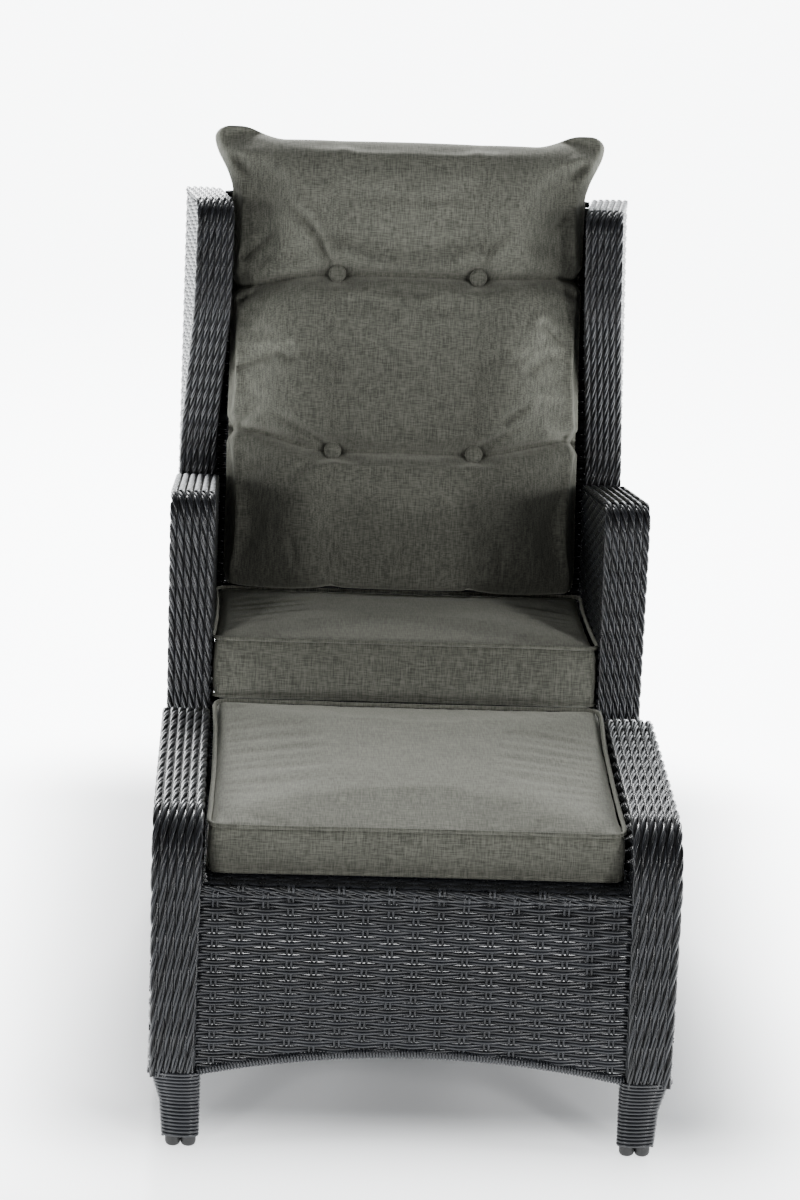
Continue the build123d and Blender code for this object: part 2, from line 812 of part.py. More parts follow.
# The woven back lies behind the uprights and closes the rear of both wings
weave_rear_reach = -upright_radius - weld_gap - weave_thickness
with BuildPart() as back_weave:
    with BuildSketch(back_plane.offset(weave_rear_reach)):
        with Locations((0, (wing_bottom_height + back_length) / 2)):
            Rectangle(2 * (half_width - wing_face_rise), back_length - wing_bottom_height)
    extrude(amount=weave_thickness)
write("back_weave", back_weave.part)

# Wings: own x runs rearwards along the wing, own y up the back; front edges toe in
toe_sin, toe_cos = sin(radians(wing_toe_in)), cos(radians(wing_toe_in))
wing_x_dir = Vector(toe_sin, lean_cos * toe_cos, -lean_sin * toe_cos)
wing_y_dir = Vector(0, lean_sin, lean_cos)
wing_width = rope_count * wing_rope_width
wing_end = (-weave_rear_reach - wing_width * toe_sin) / toe_cos
wing_plane = Plane(
    origin=(half_width - wing_end * toe_sin, hinge_y, hinge_z),
    x_dir=wing_x_dir,
    z_dir=wing_x_dir.cross(wing_y_dir),
)
wing_corners = [
    (-wing_front_reach, wing_bottom_height),
    (-wing_front_reach, wing_neck_height),
    (-wing_bulge_reach, wing_shoulder_height),
    (-wing_top_reach, wing_top_height),
    (wing_end, wing_rear_height),
]
wing_radii = [wing_curve_radius, wing_curve_radius, wing_top_radius]
wing_inset = wing_band_thickness + seam_gap


def along_to(low, high, reach):
    """The point of the line from low to high at a reach along the wing."""
    share = (reach - low[0]) / (high[0] - low[0])
    return (reach, low[1] + share * (high[1] - low[1]))


def wing_panel(depth, rear_reach):
    """A woven wing side, whose outer face lies at a depth and whose rear edge at a place."""
    outline, outline_radii = inset(wing_corners, wing_radii, wing_inset)
    rear = -(rear_reach + (depth + weave_thickness) * toe_sin) / toe_cos
    outline[-1] = along_to(*outline[-2:], rear)

    def closing(end, start):
        Polyline(end, (rear, wing_bottom_height), start)

    face = wing_plane.offset(-depth - weave_thickness)
    return plate(face, outline, outline_radii, closing, weave_thickness)


band_corners, band_radii = inset(wing_corners, wing_radii, wing_band_thickness)
band_plane = wing_plane.offset(-wing_width / 2)
wing_band = rope_band(band_plane, band_corners, band_radii, rope_count, wing_rope_width, wing_band_thickness)
write_pair("wing_band", wing_band)
back_front_reach = upright_radius + weld_gap
write_pair("wing_outer_weave", wing_panel(wing_face_rise, weave_rear_reach + weave_thickness + seam_gap))
write_pair("wing_inner_weave", wing_panel(wing_width - seam_gap - weave_thickness, back_front_reach))

hoop_corners, hoop_radii = inset(wing_corners, wing_radii, wing_inset + hoop_radius)
hoop_plane = wing_plane.offset(upright_x - half_width)
hoop_start = along_to(*hoop_corners[1:3], 0)
hoop_end = along_to(*hoop_corners[3:5], 0)
hoop = round_bar(lift(hoop_plane, [hoop_start, *hoop_corners[2:4], hoop_end]), hoop_radii[1:], hoop_radius)
write_pair("wing_frame", cut_level(hoop, back_plane.offset(back_front_reach)))

border_ropes = 3
border_width = upright_radius * 2 + 2 * weld_gap
border_half_x = wing_plane.origin.X - (wing_width + seam_gap + border_width * toe_sin) / toe_cos
with BuildPart() as back_top_border:
    start = back_plane.from_local_coords((border_half_x, back_length + seam_gap, 0))
    with BuildSketch(Plane(origin=start, x_dir=back_plane.z_dir, z_dir=(-1, 0, 0))):
        with BuildLine():
            rope = border_width / border_ropes
            low_reach, high_reach = -border_width / 2, border_width / 2
            valley = wing_band_thickness - rope_rise
            Polyline((low_reach, valley), (low_reach, 0), (high_reach, 0), (high_reach, valley))
            for index in range(border_ropes):
                left = low_reach + index * rope
                ThreePointArc((left, valley), (left + rope / 2, wing_band_thickness), (left + rope, valley))
        make_face()
    extrude(amount=2 * border_half_x)
write("back_top_border", back_top_border.part)

# Footstool
side_pieces("stool", stool_corners, stool_radii, stool_rail_z + tube_radius + inner_weave_gap)
stool_frame, stool_front_rail, stool_rear_rail = welded_frame(stool_corners, stool_rail_z, stool_rail_z)
write("stool_frame", stool_frame)
write("stool_front_weave", apron(*apron_line(stool_corners, 0), 1, stool_apron_top_z))
write("stool_rear_weave", apron(*apron_line(stool_corners, 1), -1, stool_apron_top_z))
deck_half = half_width - band_width - deck_side_gap
stool_deck, stool_plane, _ = deck(stool_front_rail, stool_rear_rail, deck_half)
write("stool_deck", stool_deck)

# Legs
write("chair_toe_caps", toe_caps(arm_corners))
write("stool_toe_caps", toe_caps(stool_corners))
write("chair_leg_wraps", wound_sleeves(arm_corners, (0, 1)))
write("stool_leg_wraps", wound_sleeves(stool_corners, (1,)))
with BuildPart() as stool_windings:
    for side in (-1, 1):
        add(winding(stool_corners, side))
write("stool_leg_windings", stool_windings.part)

# Cushions
inner_x = half_width - band_width
seat_start = (seat_cushion_front_y - front_rail[0]) / cos(seat_slope)
seat_rest = Plane(
    origin=seat_plane.from_local_coords((0, seat_start, deck_thickness + cushion_gap)),
    x_dir=(1, 0, 0),
    z_dir=seat_plane.z_dir,
)
seat_half = inner_x - cushion_bulge - seat_cushion_side_gap
seat_depth = (seat_cushion_rear_y - seat_cushion_front_y) / cos(seat_slope)
seat_heights = (seat_cushion_front_height, seat_cushion_rear_height)
write("seat_cushion", box_cushion(seat_rest, seat_half, seat_depth, *seat_heights, seat_crown))

stool_start = stool_front_y + stool_cushion_front_inset - stool_front_rail[0]
stool_rest = Plane(
    origin=stool_plane.from_local_coords((0, stool_start, deck_thickness + cushion_gap)),
    x_dir=(1, 0, 0),
    z_dir=stool_plane.z_dir,
)
stool_half = inner_x - cushion_bulge - stool_cushion_side_gap
stool_cushion_depth = stool_depth - stool_cushion_front_inset - stool_cushion_rear_inset
stool_heights = (stool_cushion_front_height, stool_cushion_rear_height)
write("stool_cushion", box_cushion(stool_rest, stool_half, stool_cushion_depth, *stool_heights, stool_crown))

# Back cushion: height, tilt, width, side edge, channel and crown depth, each as a share
back_cushion_height = back_cushion_high_height - back_cushion_low_height
lower_row_share = (lower_button_height - back_cushion_low_height) / back_cushion_height
upper_row_share = (upper_button_height - back_cushion_low_height) / back_cushion_height
ear_share = ear_half_width / back_cushion_half_width
channel_depth_share = 0.6
lobe_shares = (0.25, 0.5, 0.75, 1.0)
middle_share = 0.75
back_station_shares = (
    (0.0, 1.0, 0.97, 0.35, 0.6, 0.66),
    (0.045, 0.8, 0.99, 0.55, 0.86, 0.92),
    (lower_row_share / 2, 0.4, 1.0, 0.62, 0.9, 0.98),
    (lower_row_share, 0.0, 0.985, 0.42, channel_depth_share, 0.7),
    ((lower_row_share + upper_row_share) / 2, 0.0, 1.0, 0.6, 0.9, 1.0),
    (upper_row_share, 0.0, 0.985, 0.42, channel_depth_share, 0.7),
    (0.83, 0.0, 1.0, 0.55, 0.86, 0.94),
    (0.94, 0.0, ear_share, 0.5, 0.68, 0.76),
    (1.0, 0.0, ear_share, 0.2, 0.22, 0.24),
)
back_cushion_rear_reach = back_front_reach + cushion_gap
button_places = [(x, u) for x in (-button_x, button_x) for u in (lower_button_height, upper_button_height)]
with BuildPart() as back_cushion:
    for up_share, tilt_share, width_share, edge_share, channel_share, crown_share in back_station_shares:
        height = back_cushion_low_height + up_share * back_cushion_height
        tilt = radians(tilt_share * back_cushion_tilt)
        station = Plane(
            origin=back_plane.from_local_coords((0, height, back_cushion_rear_reach)),
            x_dir=(1, 0, 0),
            z_dir=-back_plane.y_dir * cos(tilt) - back_plane.z_dir * sin(tilt),
        )
        wide = width_share * back_cushion_half_width
        edge = edge_share * back_cushion_depth
        channel = channel_share * back_cushion_depth
        crown = crown_share * back_cushion_depth
        rear = wide - back_cushion_skirt
        swell = (crown + edge + channel) / 3 - (edge + channel) / 2
        right = [(rear, 0), (wide, edge / 2), (rear, edge)]
        for share in lobe_shares:
            lobe = edge + share * (channel - edge) + 4 * share * (1 - share) * swell
            right.append((rear + share * (button_x - rear), lobe))
        right.append((button_x / 2, channel + (crown - channel) * middle_share))
        left = [(-a, b) for a, b in reversed(right)]
        with BuildSketch(station):
            with BuildLine():
                Polyline(*right, (0, crown), *left, close=True)
            make_face()
    loft(ruled=True)
    channel_reach = back_cushion_rear_reach + channel_depth_share * back_cushion_depth
    with BuildSketch(back_plane.offset(channel_reach)):
        with Locations(*button_places):
            RegularPolygon(button_radius + button_gap, button_sides)
    extrude(amount=back_cushion_depth, mode=Mode.SUBTRACT)
write("back_cushion", back_cushion.part)

with BuildPart() as back_cushion_buttons:
    face_reach = channel_reach + button_gap
    with BuildSketch(back_plane.offset(face_reach)):
        with Locations(*button_places):
            RegularPolygon(button_radius, button_sides)
    extrude(amount=button_height)
    chamfer(back_cushion_buttons.edges().group_by(Axis((0, 0, 0), back_plane.z_dir))[-1], button_height / 2)
write("back_cushion_buttons", back_cushion_buttons.part)
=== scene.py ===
# %% [markdown]
# # A reclining garden armchair and its footstool
#
# The real chair is a tube frame that is woven over with round plastic strands. Three things make
# its looks: rope bands over the arms, wings and legs, plain weave on every flat side, and soft
# cushions of grey-olive cloth. Ropes, weave and windings all repeat along a path, so they are
# grown by Geometry Nodes from simple guide lines. The cushions are swollen by a cloth simulation.
#
# The frame comes from the CAD model, which fixes every place and size. It is loaded first.

# %% Load the frame
import json
from collections import namedtuple
from math import atan2, ceil, cos, floor, hypot, pi, radians, sin, tan

import bpy
from mathutils import Matrix, Vector, noise

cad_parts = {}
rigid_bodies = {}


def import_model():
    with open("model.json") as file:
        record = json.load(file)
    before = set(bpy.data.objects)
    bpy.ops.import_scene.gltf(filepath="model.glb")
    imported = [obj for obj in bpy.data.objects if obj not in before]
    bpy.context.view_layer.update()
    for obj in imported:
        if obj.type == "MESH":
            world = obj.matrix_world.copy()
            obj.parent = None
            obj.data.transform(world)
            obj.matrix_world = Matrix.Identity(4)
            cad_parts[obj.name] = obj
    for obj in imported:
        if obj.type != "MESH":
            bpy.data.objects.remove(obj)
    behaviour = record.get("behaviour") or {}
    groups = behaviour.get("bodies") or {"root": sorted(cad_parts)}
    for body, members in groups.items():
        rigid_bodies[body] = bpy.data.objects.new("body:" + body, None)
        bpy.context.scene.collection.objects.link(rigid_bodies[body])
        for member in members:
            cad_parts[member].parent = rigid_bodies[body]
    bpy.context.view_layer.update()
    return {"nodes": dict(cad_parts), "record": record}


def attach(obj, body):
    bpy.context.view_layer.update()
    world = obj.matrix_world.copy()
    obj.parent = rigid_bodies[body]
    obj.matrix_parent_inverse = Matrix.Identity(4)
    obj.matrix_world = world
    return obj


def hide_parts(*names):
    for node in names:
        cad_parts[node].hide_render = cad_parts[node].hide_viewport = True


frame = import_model()
mm = 0.001

# %% [markdown]
# ## A short way to build node trees
#
# Materials, the sky and the strands are all made of nodes. One small class adds a node, sets its
# inputs or links them to other nodes, and returns an output, so that a tree reads like a formula.

# %% Node helper


class Nodes:
    """A node tree under construction, with short calls for its nodes."""

    def __init__(self, group):
        self.group = group

    def fill(self, node, values):
        """Set a node's inputs, or link those whose value is another node's output."""
        for slot, value in dict(values).items():
            if isinstance(value, bpy.types.NodeSocket):
                self.group.links.new(value, node.inputs[slot])
            else:
                node.inputs[slot].default_value = value

    def add(self, kind, values=(), out=0, **settings):
        """Add a node, fill its inputs and return one output."""
        node = self.group.nodes.new(kind)
        for key, value in settings.items():
            setattr(node, key, value)
        self.fill(node, values)
        return node.outputs[out]

    def math(self, operation, a, b=0.0):
        return self.add("ShaderNodeMath", {0: a, 1: b}, operation=operation)

    def scaled(self, vector, factor):
        return self.add("ShaderNodeVectorMath", {0: vector, "Scale": factor}, operation="SCALE")

    def vector(self, operation, a, b=(0, 0, 0), out=0):
        return self.add("ShaderNodeVectorMath", {0: a, 1: b}, out=out, operation=operation)

    def place(self, kind="Object"):
        return self.add("ShaderNodeTexCoord", out=kind)

    def noise(self, place, scale, **more):
        return self.add("ShaderNodeTexNoise", {"Vector": place, "Scale": scale, **more})

    def ranged(self, value, limits, easing="LINEAR"):
        """Map a value between limits, given as from low, from high, to low and to high."""
        names = ("From Min", "From Max", "To Min", "To Max")
        values = {"Value": value, **dict(zip(names, limits))}
        return self.add("ShaderNodeMapRange", values, interpolation_type=easing)

    def ramp(self, value, dark, light, start=0.0):
        """A colour between dark and light."""
        node = self.group.nodes.new("ShaderNodeValToRGB")
        low, high = node.color_ramp.elements
        low.position, low.color, high.color = start, (*dark, 1), (*light, 1)
        self.fill(node, {"Fac": value})
        return node.outputs["Color"]

    def bump(self, height, strength, distance, **more):
        values = {"Height": height, "Strength": strength, "Distance": distance, **more}
        return self.add("ShaderNodeBump", values)


def new_material(name, color, roughness):
    """A material with one shader, and a node helper ready for its pattern."""
    material = bpy.data.materials.new(name)
    material.use_nodes = True
    shader = material.node_tree.nodes["Principled BSDF"]
    tree = Nodes(material.node_tree)
    tree.fill(shader, {"Base Color": (*color, 1), "Roughness": roughness})
    return material, tree, shader


def grained(tree, scale, strength, distance=0.3 * mm):
    """A fine grain in a surface, laid by object coordinates."""
    return tree.bump(tree.noise(tree.place(), scale), strength, distance)


print("node helper ready")

# %% [markdown]
# ## Camera, floor and light
#
# The camera stands where the photographer stood: in front, a little to the left, well above the
# seat and far off, with a long lens. It leans by two degrees, as the photograph does. The light is
# that of a white studio: a pale floor, a bright sky all round, and large soft lamps.

# %% Camera
camera_place = Vector((-0.226, -5.725, 2.109))
camera_turn, camera_pitch, camera_roll = radians(2.14), radians(15.13), radians(2.19)
camera_lens, camera_sensor, camera_reach = 125.06, 36, 60

forward = Vector((
    sin(camera_turn) * cos(camera_pitch),
    cos(camera_turn) * cos(camera_pitch),
    -sin(camera_pitch),
))
level = Vector((cos(camera_turn), -sin(camera_turn), 0))
upright = level.cross(forward)
across = level * cos(camera_roll) + upright * sin(camera_roll)
above = -level * sin(camera_roll) + upright * cos(camera_roll)
camera = bpy.data.objects.new("camera", bpy.data.cameras.new("camera"))
bpy.context.scene.collection.objects.link(camera)
camera.matrix_world = Matrix((
    (across.x, above.x, -forward.x, camera_place.x),
    (across.y, above.y, -forward.y, camera_place.y),
    (across.z, above.z, -forward.z, camera_place.z),
    (0, 0, 0, 1),
))
camera.data.lens = camera_lens
camera.data.sensor_width = camera_sensor
camera.data.clip_end = camera_reach
bpy.context.scene.camera = camera
print("camera at", [round(v, 3) for v in camera.location])

# %% Floor


def new_mesh(name, vertices, faces, material, smooth=True):
    """A mesh object at the origin, with its place in its mesh."""
    mesh = bpy.data.meshes.new(name)
    mesh.from_pydata([tuple(v) for v in vertices], [], faces)
    mesh.materials.append(material)
    for polygon in mesh.polygons:
        polygon.use_smooth = smooth
    piece = bpy.data.objects.new(name, mesh)
    bpy.context.scene.collection.objects.link(piece)
    return piece


floor_paint, floor_tree, floor_shader = new_material("studio_floor", (0.78, 0.79, 0.80), 0.5)
floor_place = floor_tree.place()
floor_tone = floor_tree.ramp(
    floor_tree.noise(floor_place, 3.0), (0.74, 0.75, 0.76), (0.82, 0.82, 0.83)
)
# Away from the chair the floor glows so strongly that it burns out to white. The steps give the
# distance from a box round the chair's feet.
floor_away = floor_place
for operation, value in (
    ("ADD", (0, -0.11, 0)), ("ABSOLUTE", (0, 0, 0)),
    ("SUBTRACT", (0.34, 0.64, 0)), ("MAXIMUM", (0, 0, 0)),
):
    floor_away = floor_tree.vector(operation, floor_away, value)
floor_distance = floor_tree.vector("LENGTH", floor_away, out=1)
floor_glow = floor_tree.ranged(floor_distance, (-0.05, 0.50, 0.0, 7.5), "SMOOTHERSTEP")
# In front of the footstool it stays dark, so that no light comes up at the strands from there
floor_y = floor_tree.add("ShaderNodeSeparateXYZ", {0: floor_place}, out="Y")
floor_front = floor_tree.ranged(floor_y, (-1.10, -0.60, 0.05, 1.0))
# Far to the left and right it fades, so that the horizon shows less from the sides
floor_x = floor_tree.add("ShaderNodeSeparateXYZ", {0: floor_place}, out="X")
floor_sides = floor_tree.ranged(
    floor_tree.math("ABSOLUTE", floor_x), (2.5, 9.0, 1.0, 0.08), "SMOOTHSTEP"
)
floor_light = floor_tree.math("MULTIPLY", floor_glow, floor_front)
floor_tree.fill(floor_shader, {
    "Base Color": floor_tone,
    "Emission Color": (0.97, 0.99, 1.0, 1),
    "Emission Strength": floor_tree.math("MULTIPLY", floor_light, floor_sides),
})
floor_reach = 30.0
studio_floor = new_mesh(
    "studio_floor",
    [(x * floor_reach, y * floor_reach, -0.001) for x, y in ((-1, -1), (1, -1), (1, 1), (-1, 1))],
    [(0, 1, 2, 3)],
    floor_paint,
)

# %% Sky and lamps
# The studio is brightest low behind the chair, and dim in front of it and overhead
world = bpy.data.worlds.new("white_studio")
world.use_nodes = True
sky = Nodes(world.node_tree)
sky_strength = sky.vector("DOT_PRODUCT", sky.place("Generated"), (0.0, 0.5, -0.32), out=1)
for operation, number in (
    ("ADD", 0.5), ("MAXIMUM", 0.0), ("POWER", 3.0), ("MULTIPLY", 6.5), ("ADD", 0.07)
):
    sky_strength = sky.math(operation, sky_strength, number)
sky.fill(world.node_tree.nodes["Background"], {
    "Color": (0.95, 0.98, 1.0, 1), "Strength": sky_strength,
})
bpy.context.scene.world = world

# Name, place, size and power of each lamp; all of them look at the seat
lamps = (
    ("lamp_left", (-2.0, -3.9, 1.2), 0.6, 58),
    ("lamp_right", (2.2, -3.6, 1.3), 0.6, 78),
    ("lamp_side_left", (-3.2, -1.2, 1.3), 0.5, 34),
    ("lamp_side_right", (3.3, -1.0, 1.4), 0.5, 40),
    ("lamp_back", (-0.3, 3.2, 2.9), 1.2, 310),
)
for lamp_name, lamp_place, lamp_size, lamp_power in lamps:
    lamp = bpy.data.objects.new(lamp_name, bpy.data.lights.new(lamp_name, "AREA"))
    lamp.data.shape = "DISK"
    lamp.data.size = lamp_size
    lamp.data.energy = lamp_power
    lamp.location = lamp_place
    lamp.rotation_mode = "QUATERNION"
    lamp.rotation_quaternion = (Vector((0, 0, 0.5)) - lamp.location).to_track_quat("-Z", "Y")
    bpy.context.scene.collection.objects.link(lamp)
print(len(lamps), "lamps")

# %% [markdown]
# ## The strand's finish
#
# The strands are extruded plastic, dark grey with a touch of blue, and have a satin face. Each
# strand has its own tone, which the trees store as an attribute, so that neighbours don't merge.
# Fine noise gives the drawn surface its grain, and a slower one makes it duller in patches.

# %% Strand material
grain_scale, patch_scale = 900.0, 38.0


def strand_material(name, dark, light, low_rough, high_rough):
    """Satin plastic strand: a tone for each strand, grain in its surface and dull patches."""
    material, tree, shader = new_material(name, dark, low_rough)
    tone = tree.add("ShaderNodeAttribute", out="Fac", attribute_name="tone")
    patches = tree.noise(tree.place(), patch_scale)
    mixed = tree.math("ADD", tone, tree.math("MULTIPLY", patches, 0.5))
    tree.fill(shader, {
        "Base Color": tree.ramp(mixed, dark, light, 0.15),
        "Roughness": tree.ranged(patches, (0.0, 1.0, low_rough, high_rough)),
        "Normal": grained(tree, grain_scale, 0.12, 0.4 * mm),
    })
    return material


# The liners' finish is darker and duller than the ropes': painted shade for the gaps between ropes
shade_liner_strand = strand_material(
    "shade_liner_strand", (0.002, 0.0022, 0.0026), (0.004, 0.0044, 0.005), 0.6, 0.75
)
rattan = strand_material(
    "rattan_strand", (0.003, 0.0032, 0.0038), (0.015, 0.0162, 0.0195), 0.25, 0.38
)
print("rattan material ready")

# %% [markdown]
# ## Growing strands from guide lines
#
# A Geometry Nodes tree turns guide lines into strands, and its result is baked to a plain mesh.
# Every tree has the same end: it stores a random tone for each strand, sweeps a ring along it and
# gives it its material.

# %% Tree helper
tone_seed = 7


class Tree(Nodes):
    """A Geometry Nodes tree with named inputs, which ends in the mesh of its strands."""

    def __init__(self, name, inputs):
        super().__init__(bpy.data.node_groups.new(name, "GeometryNodeTree"))
        self.ids = {}
        face = self.group.interface
        face.new_socket("Geometry", in_out="OUTPUT", socket_type="NodeSocketGeometry")
        for label, kind in (("Geometry", "Geometry"), *inputs):
            socket = face.new_socket(label, in_out="INPUT", socket_type=f"NodeSocket{kind}")
            self.ids[label] = socket.identifier
        self.start = self.group.nodes.new("NodeGroupInput")
        self.end = self.group.nodes.new("NodeGroupOutput")

    def __getitem__(self, label):
        return self.start.outputs[label]

    def finish(self, curve):
        """Store each strand's tone, give it its thickness and hand on a real mesh."""
        tone = self.add("FunctionNodeRandomValue", {"Seed": tone_seed}, out=1, data_type="FLOAT")
        curve = self.add(
            "GeometryNodeStoreNamedAttribute",
            {"Geometry": curve, "Name": "tone", "Value": tone},
            data_type="FLOAT",
            domain="CURVE",
        )
        ring = self.add("GeometryNodeCurvePrimitiveCircle", {
            "Resolution": self["Sides"], "Radius": self["Strand Radius"],
        })
        mesh = self.add("GeometryNodeCurveToMesh", {
            "Curve": curve, "Profile Curve": ring, "Fill Caps": True,
        })
        mesh = self.add("GeometryNodeSetShadeSmooth", {"Geometry": mesh})
        mesh = self.add("GeometryNodeRealizeInstances", {"Geometry": mesh})
        material = {"Geometry": mesh, "Material": self["Material"]}
        mesh = self.add("GeometryNodeSetMaterial", material)
        self.fill(self.end, {"Geometry": mesh})


def grow(name, tree, lines, values, closed=False):
    """Run a tree over guide lines and return the result as one plain mesh object."""
    data = bpy.data.curves.new(name + "_guide", "CURVE")
    data.dimensions = "3D"
    for line in lines:
        spline = data.splines.new("POLY")
        spline.points.add(len(line) - 1)
        spline.points.foreach_set("co", [c for p in line for c in (p[0], p[1], p[2], 1.0)])
        spline.use_cyclic_u = closed
    guide = bpy.data.objects.new(name + "_guide", data)
    bpy.context.scene.collection.objects.link(guide)
    modifier = guide.modifiers.new("grow", "NODES")
    modifier.node_group = tree.group
    for label, value in values.items():
        modifier[tree.ids[label]] = value
    bpy.context.view_layer.update()
    depsgraph = bpy.context.evaluated_depsgraph_get()
    mesh = bpy.data.meshes.new_from_object(guide.evaluated_get(depsgraph))
    guide.modifiers.remove(modifier)
    bpy.data.objects.remove(guide)
    mesh.name = name
    piece = bpy.data.objects.new(name, mesh)
    bpy.context.scene.collection.objects.link(piece)
    print(name, len(lines), "lines,", len(mesh.polygons), "faces")
    return piece


def dress(piece, body, slot, *nodes):
    """Let a finished piece ride on its body in place of its CAD solids."""
    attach(piece, body)
    if nodes:
        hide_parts(*nodes)


# %% [markdown]
# ## Three trees: rope, weave and plain strand
#
# A rope has two plies, and each ply is a pair of strands that lie side by side. So four copies of
# the guide are wound round it as helices, two and two close together. The winding uses the
# curve's length for its angle, which keeps the pitch even round the bends.
#
# Plain weave is simpler than it looks. The uprights, the stakes, stay straight, and each row
# passes in front of one stake and behind the next. That is a cosine of the distance along the
# row, and every second row has the opposite sign.

# %% Rope tree
rope_tree = Tree("rope", (
    ("Across", "Vector"), ("Turn Length", "Float"),
    ("Half Width", "Float"), ("Half Depth", "Float"),
    ("Strand Radius", "Float"), ("Step", "Float"), ("Sides", "Int"), ("Ply Gap", "Float"),
    ("Material", "Material"),
))
even = rope_tree.add("GeometryNodeResampleCurve", {
    "Curve": rope_tree["Geometry"], "Length": rope_tree["Step"],
}, mode="LENGTH")
copies = rope_tree.group.nodes.new("GeometryNodeDuplicateElements")
copies.domain = "SPLINE"
copies.inputs["Amount"].default_value = 4
rope_tree.group.links.new(even, copies.inputs["Geometry"])
number = copies.outputs["Duplicate Index"]
ply = rope_tree.math("FLOOR", rope_tree.math("MULTIPLY", number, 0.5))
strand = rope_tree.math("SUBTRACT", number, rope_tree.math("MULTIPLY", ply, 2.0))
start_angle = rope_tree.math(
    "ADD",
    rope_tree.math("MULTIPLY", ply, pi),
    rope_tree.math("MULTIPLY", rope_tree.math("SUBTRACT", strand, 0.5), rope_tree["Ply Gap"]),
)
run_length = rope_tree.add("GeometryNodeSplineParameter", out=1)
turned_by = rope_tree.math("MULTIPLY", run_length, 2 * pi)
turned_by = rope_tree.math("DIVIDE", turned_by, rope_tree["Turn Length"])
angle = rope_tree.math("ADD", turned_by, start_angle)
tangent = rope_tree.add("GeometryNodeInputTangent")
deep = rope_tree.vector("CROSS_PRODUCT", tangent, rope_tree["Across"])
deep = rope_tree.vector("NORMALIZE", deep)
wide = rope_tree.math("MULTIPLY", rope_tree.math("COSINE", angle), rope_tree["Half Width"])
inward = rope_tree.math("MULTIPLY", rope_tree.math("SINE", angle), rope_tree["Half Depth"])
offset = rope_tree.vector(
    "ADD", rope_tree.scaled(rope_tree["Across"], wide), rope_tree.scaled(deep, inward)
)
wound = rope_tree.add("GeometryNodeSetPosition", {
    "Geometry": copies.outputs["Geometry"], "Offset": offset,
})
rope_tree.finish(wound)
print("rope tree:", len(rope_tree.group.nodes), "nodes")

# %% Weave tree
weave_tree = Tree("plain_weave", (
    ("Origin", "Vector"), ("Along", "Vector"), ("Up", "Vector"), ("Out", "Vector"),
    ("Stake Pitch", "Float"), ("Row Pitch", "Float"),
    ("Swing", "Float"), ("Strand Radius", "Float"),
    ("Step", "Float"), ("Sides", "Int"), ("Material", "Material"),
))
even = weave_tree.add("GeometryNodeResampleCurve", {
    "Curve": weave_tree["Geometry"], "Length": weave_tree["Step"],
}, mode="LENGTH")
position = weave_tree.add("GeometryNodeInputPosition")
place = weave_tree.vector("SUBTRACT", position, weave_tree["Origin"])
reach = weave_tree.vector("DOT_PRODUCT", place, weave_tree["Along"], out=1)
height = weave_tree.vector("DOT_PRODUCT", place, weave_tree["Up"], out=1)
row = weave_tree.math("FLOOR", weave_tree.math("DIVIDE", height, weave_tree["Row Pitch"]))
passed = weave_tree.math("DIVIDE", reach, weave_tree["Stake Pitch"])
phase = weave_tree.math("MULTIPLY", weave_tree.math("ADD", passed, row), pi)
swing = weave_tree.math("MULTIPLY", weave_tree.math("COSINE", phase), weave_tree["Swing"])
waved = weave_tree.add("GeometryNodeSetPosition", {
    "Geometry": even, "Offset": weave_tree.scaled(weave_tree["Out"], swing),
})
weave_tree.finish(waved)

# %% Plain strand tree
strand_tree = Tree("strand", (
    ("Strand Radius", "Float"), ("Sides", "Int"), ("Material", "Material"),
))
strand_tree.finish(strand_tree["Geometry"])


def lay_strands(name, body, lines, radius, sides, *nodes, material=rattan):
    """Plain strands along lines, as one finished piece."""
    values = {"Strand Radius": radius, "Sides": sides, "Material": material}
    dress(grow(name, strand_tree, lines, values), body, "rattan", *nodes)


print("weave and strand trees ready")

# %% [markdown]
# ## Outlines of the sides
#
# The CAD model draws each side as a few corners with rounded bends, and insets that line for
# everything that lies deeper. The same corners are repeated here in metres, with the same two
# helpers: one insets the outline, and one walks it with its bends.

# %% Outline helpers
def inset(corners, radii, depth):
    """Move a clockwise outline inwards by depth; round corners keep their centres."""
    lines = []
    for (a0, b0), (a1, b1) in zip(corners, corners[1:]):
        length = hypot(a1 - a0, b1 - b0)
        da, db = (a1 - a0) / length, (b1 - b0) / length
        lines.append((a0 + db * depth, b0 - da * depth, da, db))
    moved, new_radii = [lines[0][:2]], []
    for (a0, b0, da, db), (a1, b1, ea, eb), radius in zip(lines, lines[1:], radii):
        turn = da * eb - db * ea
        run = ((a1 - a0) * eb - (b1 - b0) * ea) / turn
        moved.append((a0 + da * run, b0 + db * run))
        new_radii.append(radius - depth if turn < 0 else radius + depth)
    a, b, da, db = lines[-1]
    length = hypot(corners[-1][0] - corners[-2][0], corners[-1][1] - corners[-2][1])
    moved.append((a + da * length, b + db * length))
    return moved, new_radii


def at_height(low, high, height):
    """The point of the line from low to high that lies at a height."""
    share = (height - low[1]) / (high[1] - low[1])
    return (low[0] + share * (high[0] - low[0]), height)


def trim(corners, height):
    """Raise the two feet of a side's outline to a height."""
    first = at_height(corners[0], corners[1], height)
    last = at_height(corners[-1], corners[-2], height)
    return [first, *corners[1:-1], last]


